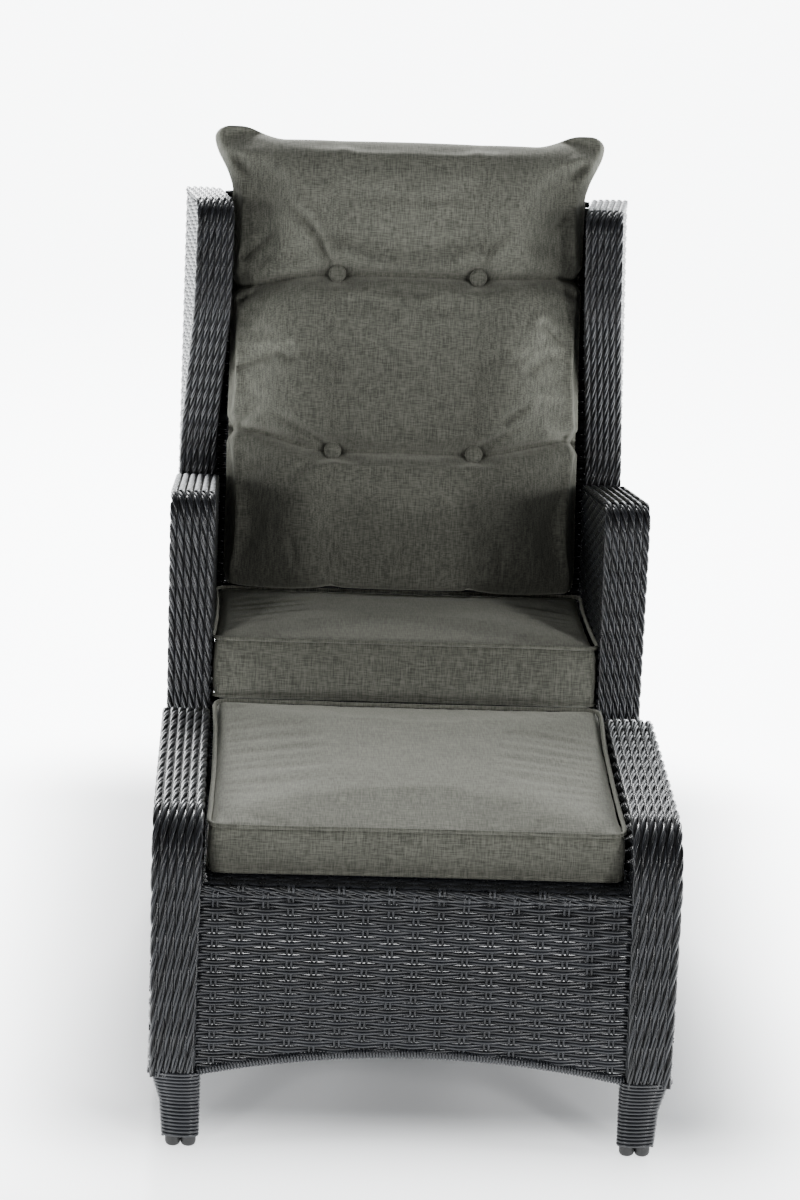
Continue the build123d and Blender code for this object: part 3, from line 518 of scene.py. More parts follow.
def walk(corners, radii, step=6 * mm):
    """Points along an outline with its bends rounded."""
    points = [corners[0]]
    for before, corner, after, radius in zip(corners, corners[1:], corners[2:], radii):
        back = (Vector(before) - Vector(corner)).normalized()
        ahead = (Vector(after) - Vector(corner)).normalized()
        half = back.angle(ahead) / 2
        start = Vector(corner) + back * radius / tan(half)
        centre = Vector(corner) + (back + ahead).normalized() * radius / sin(half)
        sweep = pi - 2 * half
        turn = -1 if back.x * ahead.y - back.y * ahead.x > 0 else 1
        spoke = start - centre
        count = max(2, ceil(sweep * radius / step))
        for index in range(count + 1):
            a = turn * sweep * index / count
            points.append((
                centre.x + spoke.x * cos(a) - spoke.y * sin(a),
                centre.y + spoke.x * sin(a) + spoke.y * cos(a),
            ))
    points.append(corners[-1])
    return points


# %% Chair and footstool outlines
half_width = 343 * mm
lean = radians(18)
hinge = (440 * mm, 385 * mm)


def back_point(v, u):
    """The (y, z) of a point v in front of the hinge line and u up the back."""
    return (hinge[0] - v * cos(lean) + u * sin(lean), hinge[1] + v * sin(lean) + u * cos(lean))


arm_corners = [
    (2 * mm, 0), (26 * mm, 705 * mm),
    back_point(33.5 * mm, 240 * mm), back_point(33.5 * mm, 0), (565 * mm, 0),
]
arm_radii = [40 * mm, 30 * mm, 80 * mm]
stool_corners = [(-691 * mm, 0), (-651 * mm, 438 * mm), (-81 * mm, 438 * mm), (-41 * mm, 0)]
stool_radii = [92 * mm, 92 * mm]
wing_turn = radians(7.1)
wing_along = Vector((sin(wing_turn), cos(lean) * cos(wing_turn), -sin(lean) * cos(wing_turn)))
wing_up = Vector((0, sin(lean), cos(lean)))
wing_out = wing_along.cross(wing_up)
wing_width = 57 * mm
wing_end = (16.3 * mm - wing_width * sin(wing_turn)) / cos(wing_turn)
wing_origin = Vector((half_width - wing_end * sin(wing_turn), *hinge))
wing_corners = [
    (-26.5 * mm, 26 * mm), (-26.5 * mm, 300 * mm),
    (-165 * mm, 480 * mm), (-178 * mm, 640 * mm), (wing_end, 686 * mm),
]
wing_radii = [120 * mm, 120 * mm, 45 * mm]


def mirrored(vector, side):
    """A vector of the right-hand side, or its mirror image for the left."""
    return Vector((side * vector[0], vector[1], vector[2]))


print("outlines ready, wing end at", round(wing_end / mm, 2), "mm")

# %% [markdown]
# ## Rope bands
#
# Six ropes lie side by side over each arm, wing and footstool side. The outermost ropes roll a
# little over the edge, and near the foot all six gather towards the leg's winding. The two arms
# are laid the other way round from the wings and the footstool, which the photograph shows well.
# Behind the ropes lie liners, which stand for the band's inner layer and keep the bright studio
# from shining through between the ropes. Their finish is darker and duller than the ropes':
# painted shade in the gaps between the ropes.

# %% Rope bands
rope_count, rope_strand, rope_step, strand_sides = 6, 2.05 * mm, 5.5 * mm, 5
edge_roll, edge_margin = 1.6 * mm, 0.4 * mm
rope_overlap, rope_sink, rope_ply = 0.3 * mm, 0.2 * mm, radians(62)
liner_strand, liner_depth = 3.1 * mm, 3.0 * mm
band_foot, gather_height, gather_share = 96 * mm, 230 * mm, 0.15


def keep_apart(height):
    """How far a rope keeps its distance where none gather."""
    return 1.0


def foot_gather(height):
    """How far a rope keeps its distance near the foot, where the ropes lean inwards."""
    share = max(0.0, min(1.0, (height - band_foot) / gather_height))
    return 1 - gather_share + gather_share * share


def rope_band(
    name, body, node, to_space, corners, radii, width, thickness, across, turn, gather=keep_apart
):
    """Six ropes along an outline as one piece, and their liners as another."""

    def lay(shift, depth):
        path = walk(*inset(corners, radii, depth))
        return [to_space(a, b, shift * gather(b)) for a, b in path]

    ropes = []
    for index in range(rope_count):
        share = (index + 0.5) / rope_count * 2 - 1
        depth = thickness / 2 + edge_roll * abs(share) ** 4
        ropes.append(lay(share * (width - edge_margin) / 2, depth))
    piece = grow(name, rope_tree, ropes, {
        "Across": tuple(across), "Turn Length": turn,
        "Half Width": width / (2 * rope_count) - rope_strand + rope_overlap,
        "Half Depth": thickness / 2 - rope_strand + rope_sink,
        "Strand Radius": rope_strand, "Step": rope_step, "Sides": strand_sides,
        "Ply Gap": rope_ply, "Material": rattan,
    })
    dress(piece, body, "rattan", node)
    liners = [
        lay((index / rope_count - 1) * width / 2, thickness - liner_depth)
        for index in range(1, 2 * rope_count)
    ]
    # The liners take the darker finish, as painted shade between the ropes
    lay_strands(
        f"{name}_liners", body, liners, liner_strand, strand_sides, material=shade_liner_strand
    )


band_width, band_thickness, wing_band_thickness = 66 * mm, 10 * mm, 9 * mm
arm_turn, stool_turn, wing_rope_turn = -61 * mm, 88 * mm, 60 * mm
for side, side_name in ((-1, "left"), (1, "right")):
    middle = half_width - band_width / 2
    for prefix, body, corners, radii, turn in (
        ("arm", "chair", arm_corners, arm_radii, arm_turn),
        ("stool", "footstool", stool_corners, stool_radii, stool_turn),
    ):
        rope_band(
            f"{side_name}_{prefix}_ropes", body, f"{side_name}_{prefix}_band",
            lambda a, b, c: Vector((side * middle + c, a, b)),
            trim(corners, band_foot), radii, band_width, band_thickness, (1, 0, 0), turn,
            foot_gather,
        )
    wing_middle = wing_origin - wing_out * wing_width / 2
    rope_band(
        f"{side_name}_wing_ropes", "backrest", f"{side_name}_wing_band",
        lambda a, b, c: mirrored(
            wing_middle + wing_along * a + wing_up * b + wing_out * c * side, side
        ),
        wing_corners, wing_radii, wing_width, wing_band_thickness,
        mirrored(wing_out, side) * side, wing_rope_turn,
    )

# %% [markdown]
# ## Woven panels
#
# A panel is an outline on a plane. Rows and stakes are the lines that a ruler would draw across
# it, cut where they meet the edge, and the weave tree does the rest. Both lie in pairs. On the
# aprons the stakes stand wide apart, so that daylight shows between the rows. The sides, wings
# and back have a closer weave.

# %% Panel helper


def cuts(outline, level, axis):
    """Where a line at a level crosses a closed outline, as pairs of places along it."""
    found = []
    for p, q in zip(outline, outline[1:] + outline[:1]):
        if (p[axis] > level) != (q[axis] > level):
            share = (level - p[axis]) / (q[axis] - p[axis])
            found.append(p[1 - axis] + share * (q[1 - axis] - p[1 - axis]))
    found.sort()
    return list(zip(found[::2], found[1::2]))


def rod_lines(outline, pitch, doubles, axis, to_space, keep=4 * mm):
    """Lines across an outline: rows for axis 1, stakes for axis 0."""
    low, high = min(p[axis] for p in outline), max(p[axis] for p in outline)
    lines = []
    for index in range(floor(low / pitch), ceil(high / pitch) + 1):
        for shift in doubles:
            level = index * pitch + shift
            for start, end in cuts(outline, level, axis):
                if end - start > keep:
                    ends = ((start, level), (end, level))
                    if axis != 1:
                        ends = ((level, start), (level, end))
                    lines.append([to_space(a, b) for a, b in ends])
    return lines


row_pair_share, stake_pair_share, stake_sides = 1.06, 1.65, 6


def woven_panel(name, body, nodes, outline, origin, along, up, out, style):
    """Stakes and rows over an outline that lies on the plane of along and up."""
    origin, along, up, out = (Vector(v) for v in (origin, along, up, out))
    half_pair = min(row_pair_share * style.radius, style.row_pitch / 4)
    half_stakes = stake_pair_share * style.stake_radius
    middle = 0.5 * style.row_pitch

    def to_space(a, b):
        return origin + along * a + up * b

    pair = (middle - half_pair, middle + half_pair)
    rows = rod_lines(outline, style.row_pitch, pair, 1, to_space)
    stakes = rod_lines(outline, style.stake_pitch, (-half_stakes, half_stakes), 0, to_space)
    weave = grow(name + "_rows", weave_tree, rows, {
        "Origin": tuple(origin), "Along": tuple(along), "Up": tuple(up), "Out": tuple(out),
        "Stake Pitch": style.stake_pitch, "Row Pitch": style.row_pitch, "Swing": style.swing,
        "Strand Radius": style.radius, "Step": style.step, "Sides": style.sides,
        "Material": rattan,
    })
    dress(weave, body, "rattan", *nodes)
    lay_strands(name + "_stakes", body, stakes, style.stake_radius, stake_sides)


Weave = namedtuple("Weave", "stake_pitch row_pitch radius stake_radius swing step sides")
wide_weave = Weave(32.4 * mm, 8.7 * mm, 2.2 * mm, 1.8 * mm, 2.7 * mm, 5.4 * mm, 6)
close_weave = Weave(22 * mm, 8.6 * mm, 2.35 * mm, 2.0 * mm, 2.2 * mm, 5.4 * mm, 5)
side_weave = Weave(22 * mm, 8.6 * mm, 2.6 * mm, 2.0 * mm, 2.0 * mm, 5.4 * mm, 5)
back_weave = Weave(22 * mm, 8.6 * mm, 2.5 * mm, 2.1 * mm, 2.2 * mm, 7.3 * mm, 5)
flat_weave = Weave(22 * mm, 8.6 * mm, 2.1 * mm, 1.8 * mm, 0.9 * mm, 11 * mm, 4)


def arch(start, end, peak, count=24):
    """Points of the shallow arch that closes a panel's foot."""
    middle, half = (start[0] + end[0]) / 2, (end[0] - start[0]) / 2
    rise = peak - (start[1] + end[1]) / 2
    return [
        (middle + half * s, peak - rise * s * s)
        for s in (2 * i / count - 1 for i in range(count + 1))
    ]


# %% Winding helper


def winding(path, first, radius_a, radius_b, pitch, per_turn=10):
    """A strand wound round a path: radius_a reaches along the direction first, radius_b across."""
    lengths = [0.0]
    for p, q in zip(path, path[1:]):
        lengths.append(lengths[-1] + (q - p).length)
    total = lengths[-1]
    count = int(total / pitch * per_turn)
    points, spot = [], 0
    for index in range(count + 1):
        place = total * index / count
        while spot < len(path) - 2 and lengths[spot + 1] < place:
            spot += 1
        share = (place - lengths[spot]) / (lengths[spot + 1] - lengths[spot])
        centre = path[spot].lerp(path[spot + 1], share)
        ahead = (path[spot + 1] - path[spot]).normalized()
        second = ahead.cross(first).normalized()
        a = 2 * pi * index / per_turn
        points.append(centre + first * radius_a * cos(a) + second * radius_b * sin(a))
    return points


# %% Side panels
arch_end, arch_peak = 102 * mm, 132 * mm
weave_inset, inner_face = 10.3 * mm, 3.4 * mm
outer_x = half_width - 5.8 * mm
inner_arm_rise = 80 * mm
side_arch = (3.1 * mm, 3.6 * mm, 3.9 * mm, 8)
side_arch_strand = 1.7 * mm
for side, side_name in ((-1, "left"), (1, "right")):
    for prefix, body, corners, radii, inner_low in (
        ("arm", "chair", arm_corners, arm_radii, 392 * mm),
        ("stool", "footstool", stool_corners, stool_radii, 343 * mm),
    ):
        foot, foot_radii = inset(trim(corners, arch_end), radii, weave_inset)
        outline = walk(foot, foot_radii)
        outline += arch(outline[-1], outline[0], arch_peak)[1:-1]
        woven_panel(
            f"{side_name}_{prefix}_outer", body, [f"{side_name}_{prefix}_outer_weave"], outline,
            (side * outer_x, 0, 0), (0, 1, 0), (0, 0, 1), (side, 0, 0), side_weave,
        )
        foot_line = arch(foot[-1], foot[0], arch_peak, 36)
        path = [Vector((side * outer_x, a, b)) for a, b in foot_line]
        wound = winding(path, Vector((1, 0, 0)), *side_arch)
        lay_strands(
            f"{side_name}_{prefix}_arch_winding", body, [wound], side_arch_strand, strand_sides
        )
        upper, upper_radii = inset(corners, radii, weave_inset)
        upper = trim(upper, inner_low)
        if prefix == "arm":
            rear_end = at_height(upper[3], upper[2], inner_low + inner_arm_rise)
            upper = [upper[0], *upper[1:3], rear_end]
            upper_radii = upper_radii[:2]
        woven_panel(
            f"{side_name}_{prefix}_inner", body, [f"{side_name}_{prefix}_inner_weave"],
            walk(upper, upper_radii), (side * (half_width - band_width + inner_face), 0, 0),
            (0, 1, 0), (0, 0, 1), (-side, 0, 0), close_weave,
        )

# %% Wing panels and back panel
wing_foot, wing_foot_radii = inset(wing_corners, wing_radii, 9.3 * mm)
for side, side_name in ((-1, "left"), (1, "right")):
    for which, depth, rear in (("outer", 4.9 * mm, -1.0), ("inner", 54 * mm, 11.3 * mm)):
        reach_end = 8 * mm
        if which == "inner":
            reach_end = -(rear + depth * sin(wing_turn)) / cos(wing_turn)
        outline = walk(wing_foot, wing_foot_radii)
        last = outline[-1]
        before = outline[-2]
        share = (reach_end - before[0]) / (last[0] - before[0])
        outline[-1] = (reach_end, before[1] + share * (last[1] - before[1]))
        outline.append((reach_end, wing_corners[0][1]))
        woven_panel(
            f"{side_name}_wing_{which}", "backrest", [f"{side_name}_wing_{which}_weave"], outline,
            mirrored(wing_origin - wing_out * depth, side), mirrored(wing_along, side), wing_up,
            mirrored(wing_out, side) * (1 if which == "outer" else -1), close_weave,
        )

back_out = Vector((0, cos(lean), -sin(lean)))
back_origin = Vector((0, *hinge))
back_half, back_low, back_high = 340 * mm, 26 * mm, 669 * mm
woven_panel(
    "back_panel", "backrest", ["back_weave"],
    [
        (-back_half, back_low), (-back_half, back_high),
        (back_half, back_high), (back_half, back_low),
    ],
    back_origin + back_out * 13.8 * mm, (1, 0, 0), wing_up, back_out, back_weave,
)

# %% [markdown]
# ## Aprons with a rolled top and a wrapped arch
#
# Under the seat and the footstool's top, woven aprons close the front and the rear. Each one's top
# ends in a roll of twisted strands. Its foot is a shallow arch, and a strand is wound round it so
# closely that its edge looks serrated.

# %% Aprons
apron_depth, apron_half = 15 * mm, 280 * mm
arch_core, arch_coil, arch_reach, arch_pitch = 4.2 * mm, 1.9 * mm, 4.7 * mm, 4.1 * mm
roll_drop, roll_lines = 1.5 * mm, ((0, 1.2 * mm), (-6.2 * mm, 1.6 * mm))
loop_out, loop_up, high_loop, low_loop = 5.6 * mm, 5.2 * mm, 2 * mm, -6 * mm


def apron(name, body, node, corners, which, top, style):
    """One apron between two legs: weave, twisted top roll and wound arch."""
    centre, _ = inset(corners, [0] * (len(corners) - 2), apron_depth)
    low, high = (centre[0], centre[1]) if which == 0 else (centre[-1], centre[-2])
    up = Vector((0, high[0] - low[0], high[1] - low[1])).normalized()
    out = Vector((0, -1, 0)) if which == 0 else Vector((0, 1, 0))
    out = (out - up * out.dot(up)).normalized()
    origin = Vector((0, *low))
    ends = [(side * apron_half, arch_end / up.z) for side in (-1, 1)]
    foot = arch(*ends, arch_peak / up.z)
    outline = [(-apron_half, top / up.z), (apron_half, top / up.z), *foot[::-1]]
    woven_panel(name, body, [node], outline, origin, (1, 0, 0), up, out, style)
    path = [origin + Vector((a, 0, 0)) + up * b for a, b in foot]
    wound = winding(path, out, arch_reach, arch_reach, arch_pitch)
    lay_strands(f"{name}_arch_core", body, [path], arch_core, 8)
    lay_strands(f"{name}_arch_winding", body, [wound], arch_coil, stake_sides)
    crest = top / up.z - roll_drop
    roll = [
        [
            origin + Vector((x * apron_half, 0, 0)) + up * (crest + lift) + out * shift
            for x in (-1, 0, 1)
        ]
        for lift, shift in roll_lines
    ]
    border = grow(f"{name}_top_roll", rope_tree, roll, {
        "Across": tuple(up), "Turn Length": 2 * style.stake_pitch, "Half Width": 2.5 * mm,
        "Half Depth": 2.9 * mm, "Strand Radius": 1.9 * mm, "Step": 6 * mm, "Sides": 6,
        "Ply Gap": radians(66), "Material": rattan,
    })
    dress(border, body, "rattan")
    # Every stake bends over the roll and back in; odd and even ones end at two heights
    loops, pitch = [], style.stake_pitch
    half_stakes = stake_pair_share * style.stake_radius
    for index in range(ceil(-apron_half / pitch), floor(apron_half / pitch) + 1):
        rise = crest + (high_loop if index % 2 else low_loop)
        for shift in (-half_stakes, half_stakes):
            place = origin + Vector((index * pitch + shift, 0, 0)) + up * rise
            loops.append([
                place + out * (loop_out * cos(a)) + up * (loop_up * sin(a))
                for a in (radians(d) for d in range(-75, 76, 25))
            ])
    lay_strands(f"{name}_stake_loops", body, loops, style.stake_radius, stake_sides)


apron("footstool_front", "footstool", "stool_front_weave", stool_corners, 0, 346 * mm, wide_weave)
apron("footstool_rear", "footstool", "stool_rear_weave", stool_corners, 1, 346 * mm, wide_weave)
apron("seat_front", "chair", "seat_front_weave", arm_corners, 0, 390 * mm, wide_weave)
apron("seat_rear", "chair", "seat_rear_weave", arm_corners, 1, 286 * mm, close_weave)

# %% [markdown]
# ## Leg windings and toes
#
# Each leg is two tubes side by side. A single strand is wound round both, from just above the
# toes up to the ropes, which it holds together. The toes are two domed black caps.

# %% Leg windings
inner_tube, outer_tube, tube_flare, flare_height = 286 * mm, 306 * mm, 19 * mm, 210 * mm
leg_inset, leg_pitch, leg_radius, leg_strand = 19.3 * mm, 4.9 * mm, 11.9 * mm, 2.45 * mm
widen_low, widen_run, widen_reach = 62 * mm, 40 * mm, 6 * mm
winding_low, winding_high, leg_points = 13 * mm, 104 * mm, 16


def tube_x(height):
    """How far out the outer leg tube's middle is at a height."""
    return outer_tube + min(1.0, height / flare_height) * tube_flare


def leg_winding(line, side, facing):
    """A strand round both tubes of one leg; higher up it widens to hold the ends of the ropes."""
    points = []
    turns = int((winding_high - winding_low) / leg_pitch)
    for index in range(turns * leg_points + 1):
        share = index / leg_points
        height = winding_low + share * leg_pitch
        y, _ = at_height(*line, height)
        widen = max(0.0, (height - widen_low) / widen_run)
        outer = tube_x(height)
        middle, half = (inner_tube + outer) / 2, (outer - inner_tube) / 2
        a = 2 * pi * share
        bend = leg_radius * (1 + 0.3 * widen) if cos(a) > 0 else leg_radius
        reach = half + widen_reach * widen if cos(a) > 0 else -half
        x = middle + cos(a) * bend + reach * min(1.0, abs(cos(a)) * 1.6)
        front = leg_radius * (1 + (0.58 if sin(a) * facing > 0 else 0.1) * widen)
        points.append(Vector((side * x, y + sin(a) * front, height)))
    return points


def leg_lines(corners):
    """Low and high (y, z) of both leg tubes' centre lines."""
    centre, _ = inset(corners, [0] * (len(corners) - 2), leg_inset)
    return (centre[0], centre[1]), (centre[-1], centre[-2])


for prefix, body, corners, nodes in (
    ("chair", "chair", arm_corners, ["chair_leg_wraps"]),
    ("footstool", "footstool", stool_corners, ["stool_leg_wraps", "stool_leg_windings"]),
):
    lines = [
        leg_winding(line, side, facing)
        for line, facing in zip(leg_lines(corners), (-1, 1)) for side in (-1, 1)
    ]
    lay_strands(f"{prefix}_leg_windings", body, lines, leg_strand, stake_sides, *nodes)

# %% Toe material
toe_plastic, toe_tree, toe_shader = new_material("toe_plastic", (0.006, 0.006, 0.0065), 0.5)
toe_tree.fill(toe_shader, {"Normal": grained(toe_tree, 420.0, 0.15)})

# %% Toes


def turned(rings, centre, count=24):
    """A closed turned shape: rings are (radius, height) from the bottom to the top."""
    vertices, faces = [], []
    for radius, height in rings:
        for index in range(count):
            a = 2 * pi * index / count
            vertices.append((centre[0] + radius * cos(a), centre[1] + radius * sin(a), height))
    for ring in range(len(rings) - 1):
        for index in range(count):
            a, b = ring * count + index, ring * count + (index + 1) % count
            faces.append((a, b, b + count, a + count))
    faces.append(tuple(reversed(range(count))))
    faces.append(tuple(range((len(rings) - 1) * count, len(rings) * count)))
    return vertices, faces


# Radius and height of each ring, and the height at which the leg's place is taken, in millimetres
toe_rings = ((4.8, 0), (7.0, 0.5), (8.9, 2.0), (9.9, 4.4), (10.2, 7.4), (10.2, 19.0), (9.2, 20.0))
toe_middle = 10
for prefix, body, corners in (
    ("chair", "chair", arm_corners), ("stool", "footstool", stool_corners)
):
    vertices, faces = [], []
    for line in leg_lines(corners):
        y, _ = at_height(*line, toe_middle * mm)
        for x in (-outer_tube, -inner_tube, inner_tube, outer_tube):
            more, more_faces = turned([(r * mm, h * mm) for r, h in toe_rings], (x, y))
            faces += [tuple(i + len(vertices) for i in face) for face in more_faces]
            vertices += more
    toes = new_mesh(f"{prefix}_toes", vertices, faces, toe_plastic)
    dress(toes, body, "toe_plastic", f"{prefix}_toe_caps")
print("toes ready")

# %% [markdown]
# ## Cloth
#
# The covers are a plain-woven outdoor cloth, grey with an olive cast. Close up it shows crossing
# threads, and from afar a faint unevenness. Each of the two thread directions is a noise that is
# stretched along it, and their sum is the weave. Both are laid by object coordinates, so they keep
# their size of about 1.5 mm on every cushion.

# %% Cloth material
long_scale, short_scale = 90.0, 950.0
blotch_scale, blotch_weight, slub_scale = 16.0, 0.12, 520.0
cloth_limits = (0.78, 1.34, 0.0, 1.0)


def cloth_material(name, dark, light, thread):
    """Woven cloth: crossing threads, slow blotches and a soft sheen."""
    material, tree, shader = new_material(name, dark, 0.85)
    place, threads = tree.place(), []
    for stretch in (
        (long_scale, short_scale, short_scale), (short_scale, long_scale, long_scale)
    ):
        scale = [v * 1.1 * mm / thread for v in stretch]
        stretched = tree.add("ShaderNodeMapping", {"Vector": place, "Scale": scale})
        threads.append(tree.noise(stretched, 1.0, Detail=1.0))
    weave = tree.math("ADD", *threads)
    blotches = tree.noise(place, blotch_scale, Detail=6.0)
    mixed = tree.add(
        "ShaderNodeMath", {0: blotches, 1: blotch_weight, 2: weave}, operation="MULTIPLY_ADD"
    )
    threads_normal = tree.bump(weave, 0.25, 0.4 * mm)
    slubs = tree.noise(place, slub_scale)
    tree.fill(shader, {
        # The sum passes 1, and a colour ramp cuts off there, so it is brought into range first
        "Base Color": tree.ramp(tree.ranged(mixed, cloth_limits), dark, light),
        "Normal": tree.bump(slubs, 0.15, 0.4 * mm, Normal=threads_normal),
        "Specular IOR Level": 0.18,
        "Sheen Weight": 0.30,
        "Sheen Tint": (0.90, 0.90, 0.78, 1),
        "Sheen Roughness": 0.5,
    })
    return material


cover_cloth = cloth_material(
    "cushion_cloth", (0.046, 0.0465, 0.0385), (0.128, 0.129, 0.107), 1.5 * mm
)
print("cloth ready")

# %% [markdown]
# ## Box cushions
#
# The seat and footstool cushions are boxed: a top and a bottom panel joined by an upright strip,
# with piping in both seams. The top is crowned, the sides pull in between the corners, and the
# strip puckers a little. The mesh is an even grid over a box, which a simulation then swells.

# %% Box helper


def box_grid(counts):
    """Vertices in -1..1 and faces of a box with an even grid on each side."""
    index, vertices, faces = {}, [], []

    def corner(p):
        key = tuple(round(c * 5000) for c in p)
        if key not in index:
            index[key] = len(vertices)
            vertices.append(p)
        return index[key]

    for axis in range(3):
        b, c = (axis + 1) % 3, (axis + 2) % 3
        for sign in (-1, 1):
            for i in range(counts[b]):
                for j in range(counts[c]):
                    quad = []
                    for di, dj in ((0, 0), (1, 0), (1, 1), (0, 1)):
                        p = [0, 0, 0]
                        p[axis] = sign
                        p[b] = 2 * (i + di) / counts[b] - 1
                        p[c] = 2 * (j + dj) / counts[c] - 1
                        quad.append(corner(tuple(p)))
                    faces.append(tuple(quad if sign > 0 else reversed(quad)))
    return vertices, faces


def swell(piece, pins, pressure, cap, slack, frames=16):
    """Swell a closed cover by cloth simulation. pins maps a vertex to how firmly it is held."""
    rest = [v.co.copy() for v in piece.data.vertices]
    group = piece.vertex_groups.new(name="held")
    for vertex, weight in pins.items():
        group.add([vertex], weight, "REPLACE")
    cloth = piece.modifiers.new("cover", "CLOTH")
    settings = cloth.settings
    settings.quality = 6
    settings.mass = 0.3
    settings.tension_stiffness = 18
    settings.compression_stiffness = 18
    settings.shear_stiffness = 6
    settings.bending_stiffness = 0.35
    settings.use_pressure = True
    settings.uniform_pressure_force = pressure
    settings.shrink_min = -slack
    settings.vertex_group_mass = "held"
    settings.pin_stiffness = 1.0
    settings.effector_weights.gravity = 0
    cloth.collision_settings.use_collision = False
    cloth.point_cache.frame_start = 1
    cloth.point_cache.frame_end = frames
    scene = bpy.context.scene
    for step in range(1, frames + 1):
        scene.frame_set(step)
    depsgraph = bpy.context.evaluated_depsgraph_get()
    swollen = bpy.data.meshes.new_from_object(piece.evaluated_get(depsgraph))
    piece.modifiers.remove(cloth)
    most = 0.0
    for vertex, new in zip(piece.data.vertices, swollen.vertices):
        move = new.co - rest[vertex.index]
        most = max(most, move.length)
        if move.length > cap:
            move *= cap / move.length
        vertex.co = rest[vertex.index] + move
    bpy.data.meshes.remove(swollen)
    piece.vertex_groups.clear()
    scene.frame_set(1)
    print(piece.name, "swelled by up to", round(most / mm, 1), "mm")


def soften(piece, levels=1):
    """Finish a cover with one subdivision."""
    modifier = piece.modifiers.new("soft", "SUBSURF")
    modifier.levels = modifier.render_levels = levels


# %% Seat and footstool cushions
side_limit, seam_limit = 0.99, 0.999
side_pull, end_pull, strip_bulge, crown_power = 4.5 * mm, 3.5 * mm, 3.0 * mm, 2.6
seam_sink, seam_drop, pucker = 2.6 * mm, 2.2 * mm, 1.2 * mm


def slab(u, v, w, half, depth, front, rear, crown):
    """A box cushion's point: u across, v along and w up, each from -1 to 1."""
    height = front + (rear - front) * (v + 1) / 2
    pull = side_pull * (1 - v * v) * (1 if abs(u) > side_limit else abs(u) ** 3)
    x = u * half - (pull if u > 0 else -pull)
    pull = end_pull * (1 - u * u)
    y = (v + 1) / 2 * depth + (-pull if v > 0 else pull) * abs(v) ** 3
    z = (w + 1) / 2 * height
    if w > 0:
        z += w * crown * ((1 - abs(u) ** crown_power) * (1 - abs(v) ** crown_power))
    bulge = (1 - w * w) * strip_bulge
    if abs(u) > side_limit:
        x += bulge if u > 0 else -bulge
    if abs(v) > side_limit:
        y += bulge if v > 0 else -bulge
    on_edge = [abs(c) > seam_limit for c in (u, v, w)]
    if sum(on_edge) > 1:
        x -= (seam_sink if u > 0 else -seam_sink) * on_edge[0]
        y -= (seam_sink if v > 0 else -seam_sink) * on_edge[1]
        z -= (seam_drop if w > 0 else -seam_drop) * on_edge[2]
    wrinkle = noise.noise(Vector((u * 5, v * 5, w * 2))) * pucker
    return (
        x + wrinkle * (abs(u) > side_limit),
        y + wrinkle * (abs(v) > side_limit),
        z + wrinkle * 0.6 * (w > side_limit),
    )


def seam_loop(half, depth, front, rear, top, lift=0.0, count=40):
    """The closed line of a cushion's top or bottom seam, in the cushion's own frame."""
    points, corners = [], ((-1, -1), (1, -1), (1, 1), (-1, 1))
    for (u0, v0), (u1, v1) in zip(corners, corners[1:] + corners[:1]):
        for index in range(count):
            share = index / count
            u, v = u0 + (u1 - u0) * share, v0 + (v1 - v0) * share
            x, y, z = slab(u, v, 1 if top else -1, half, depth, front, rear, 0)
            points.append(Vector((x, y, z + lift)))
    return points


def smooth_loop(points, rounds):
    """Round a closed line's corners by averaging neighbours."""
    for _ in range(rounds):
        points = [
            (points[i - 1] + points[i] * 2 + points[(i + 1) % len(points)]) / 4
            for i in range(len(points))
        ]
    return points


piping_radius, top_lift, bottom_lift = 3.0 * mm, 1.6 * mm, 3.2 * mm
box_pressure, box_cap, box_slack = 1.0, 7 * mm, 0.003


def box_cushion(name, body, node, origin, slope, half, depth, front, rear, crown, counts):
    """A boxed cushion with its piping, on a deck that slopes down to the rear."""
    turn = Matrix.Translation(origin) @ Matrix.Rotation(-slope, 4, "X")
    vertices, faces = box_grid(counts)
    shaped = [turn @ Vector(slab(*p, half, depth, front, rear, crown)) for p in vertices]
    piece = new_mesh(name, shaped, faces, cover_cloth)
    pins = {i: 1.0 for i, p in enumerate(vertices) if p[2] < -side_limit}
    for i, p in enumerate(vertices):
        if p[2] > -side_limit and sum(abs(c) > 0.97 for c in p) >= 2:
            pins[i] = 0.9
    swell(piece, pins, box_pressure, box_cap, box_slack)
    soften(piece)
    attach(piece, body)
    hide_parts(node)
    middle = Vector((0, depth / 2, 0))
    for label, top, lift in (("top", True, top_lift), ("bottom", False, bottom_lift)):
        loop = smooth_loop(seam_loop(half + piping_radius, depth, front, rear, top, lift), 4)
        loop = [turn @ (middle + (p - middle) * (1 + piping_radius / (depth / 2))) for p in loop]
        piping = grow(f"{name}_piping_{label}", strand_tree, [loop], {
            "Strand Radius": piping_radius, "Sides": 8, "Material": cover_cloth,
        }, closed=True)
        dress(piping, body, "cushion_cloth")


# Origin on the deck, slope, half width, depth, front and rear height, crown and grid
seat_slope = atan2(32, 352.8)
box_cushion(
    "seat_box_cushion", "chair", "seat_cushion", Vector((0, 24 * mm, 398.4 * mm)), seat_slope,
    273.3 * mm, 371.5 * mm, 88 * mm, 98 * mm, 12 * mm, (72, 50, 12),
)
box_cushion(
    "footstool_box_cushion", "footstool", "stool_cushion", Vector((0, -603 * mm, 347.7 * mm)), 0.0,
    268 * mm, 496 * mm, 66 * mm, 88 * mm, 14 * mm, (72, 66, 12),
)

# %% [markdown]
# ## The back cushion
#
# This one is a soft pillow, filled with fibre. Four covered buttons pull its front towards its
# back. Deep creases run across it from button to button and out to the sides, and between them
# the cloth stands out in full lobes. The top corners stick out like ears, because the filling
# never quite reaches into them.
#
# The shape is written as a depth over the back for every place on the front. The depth climbs
# steeply beside a crease and is flat on a lobe. Then the cover is swollen, and last the creases
# and folds that the photograph shows are pressed into the fine mesh.

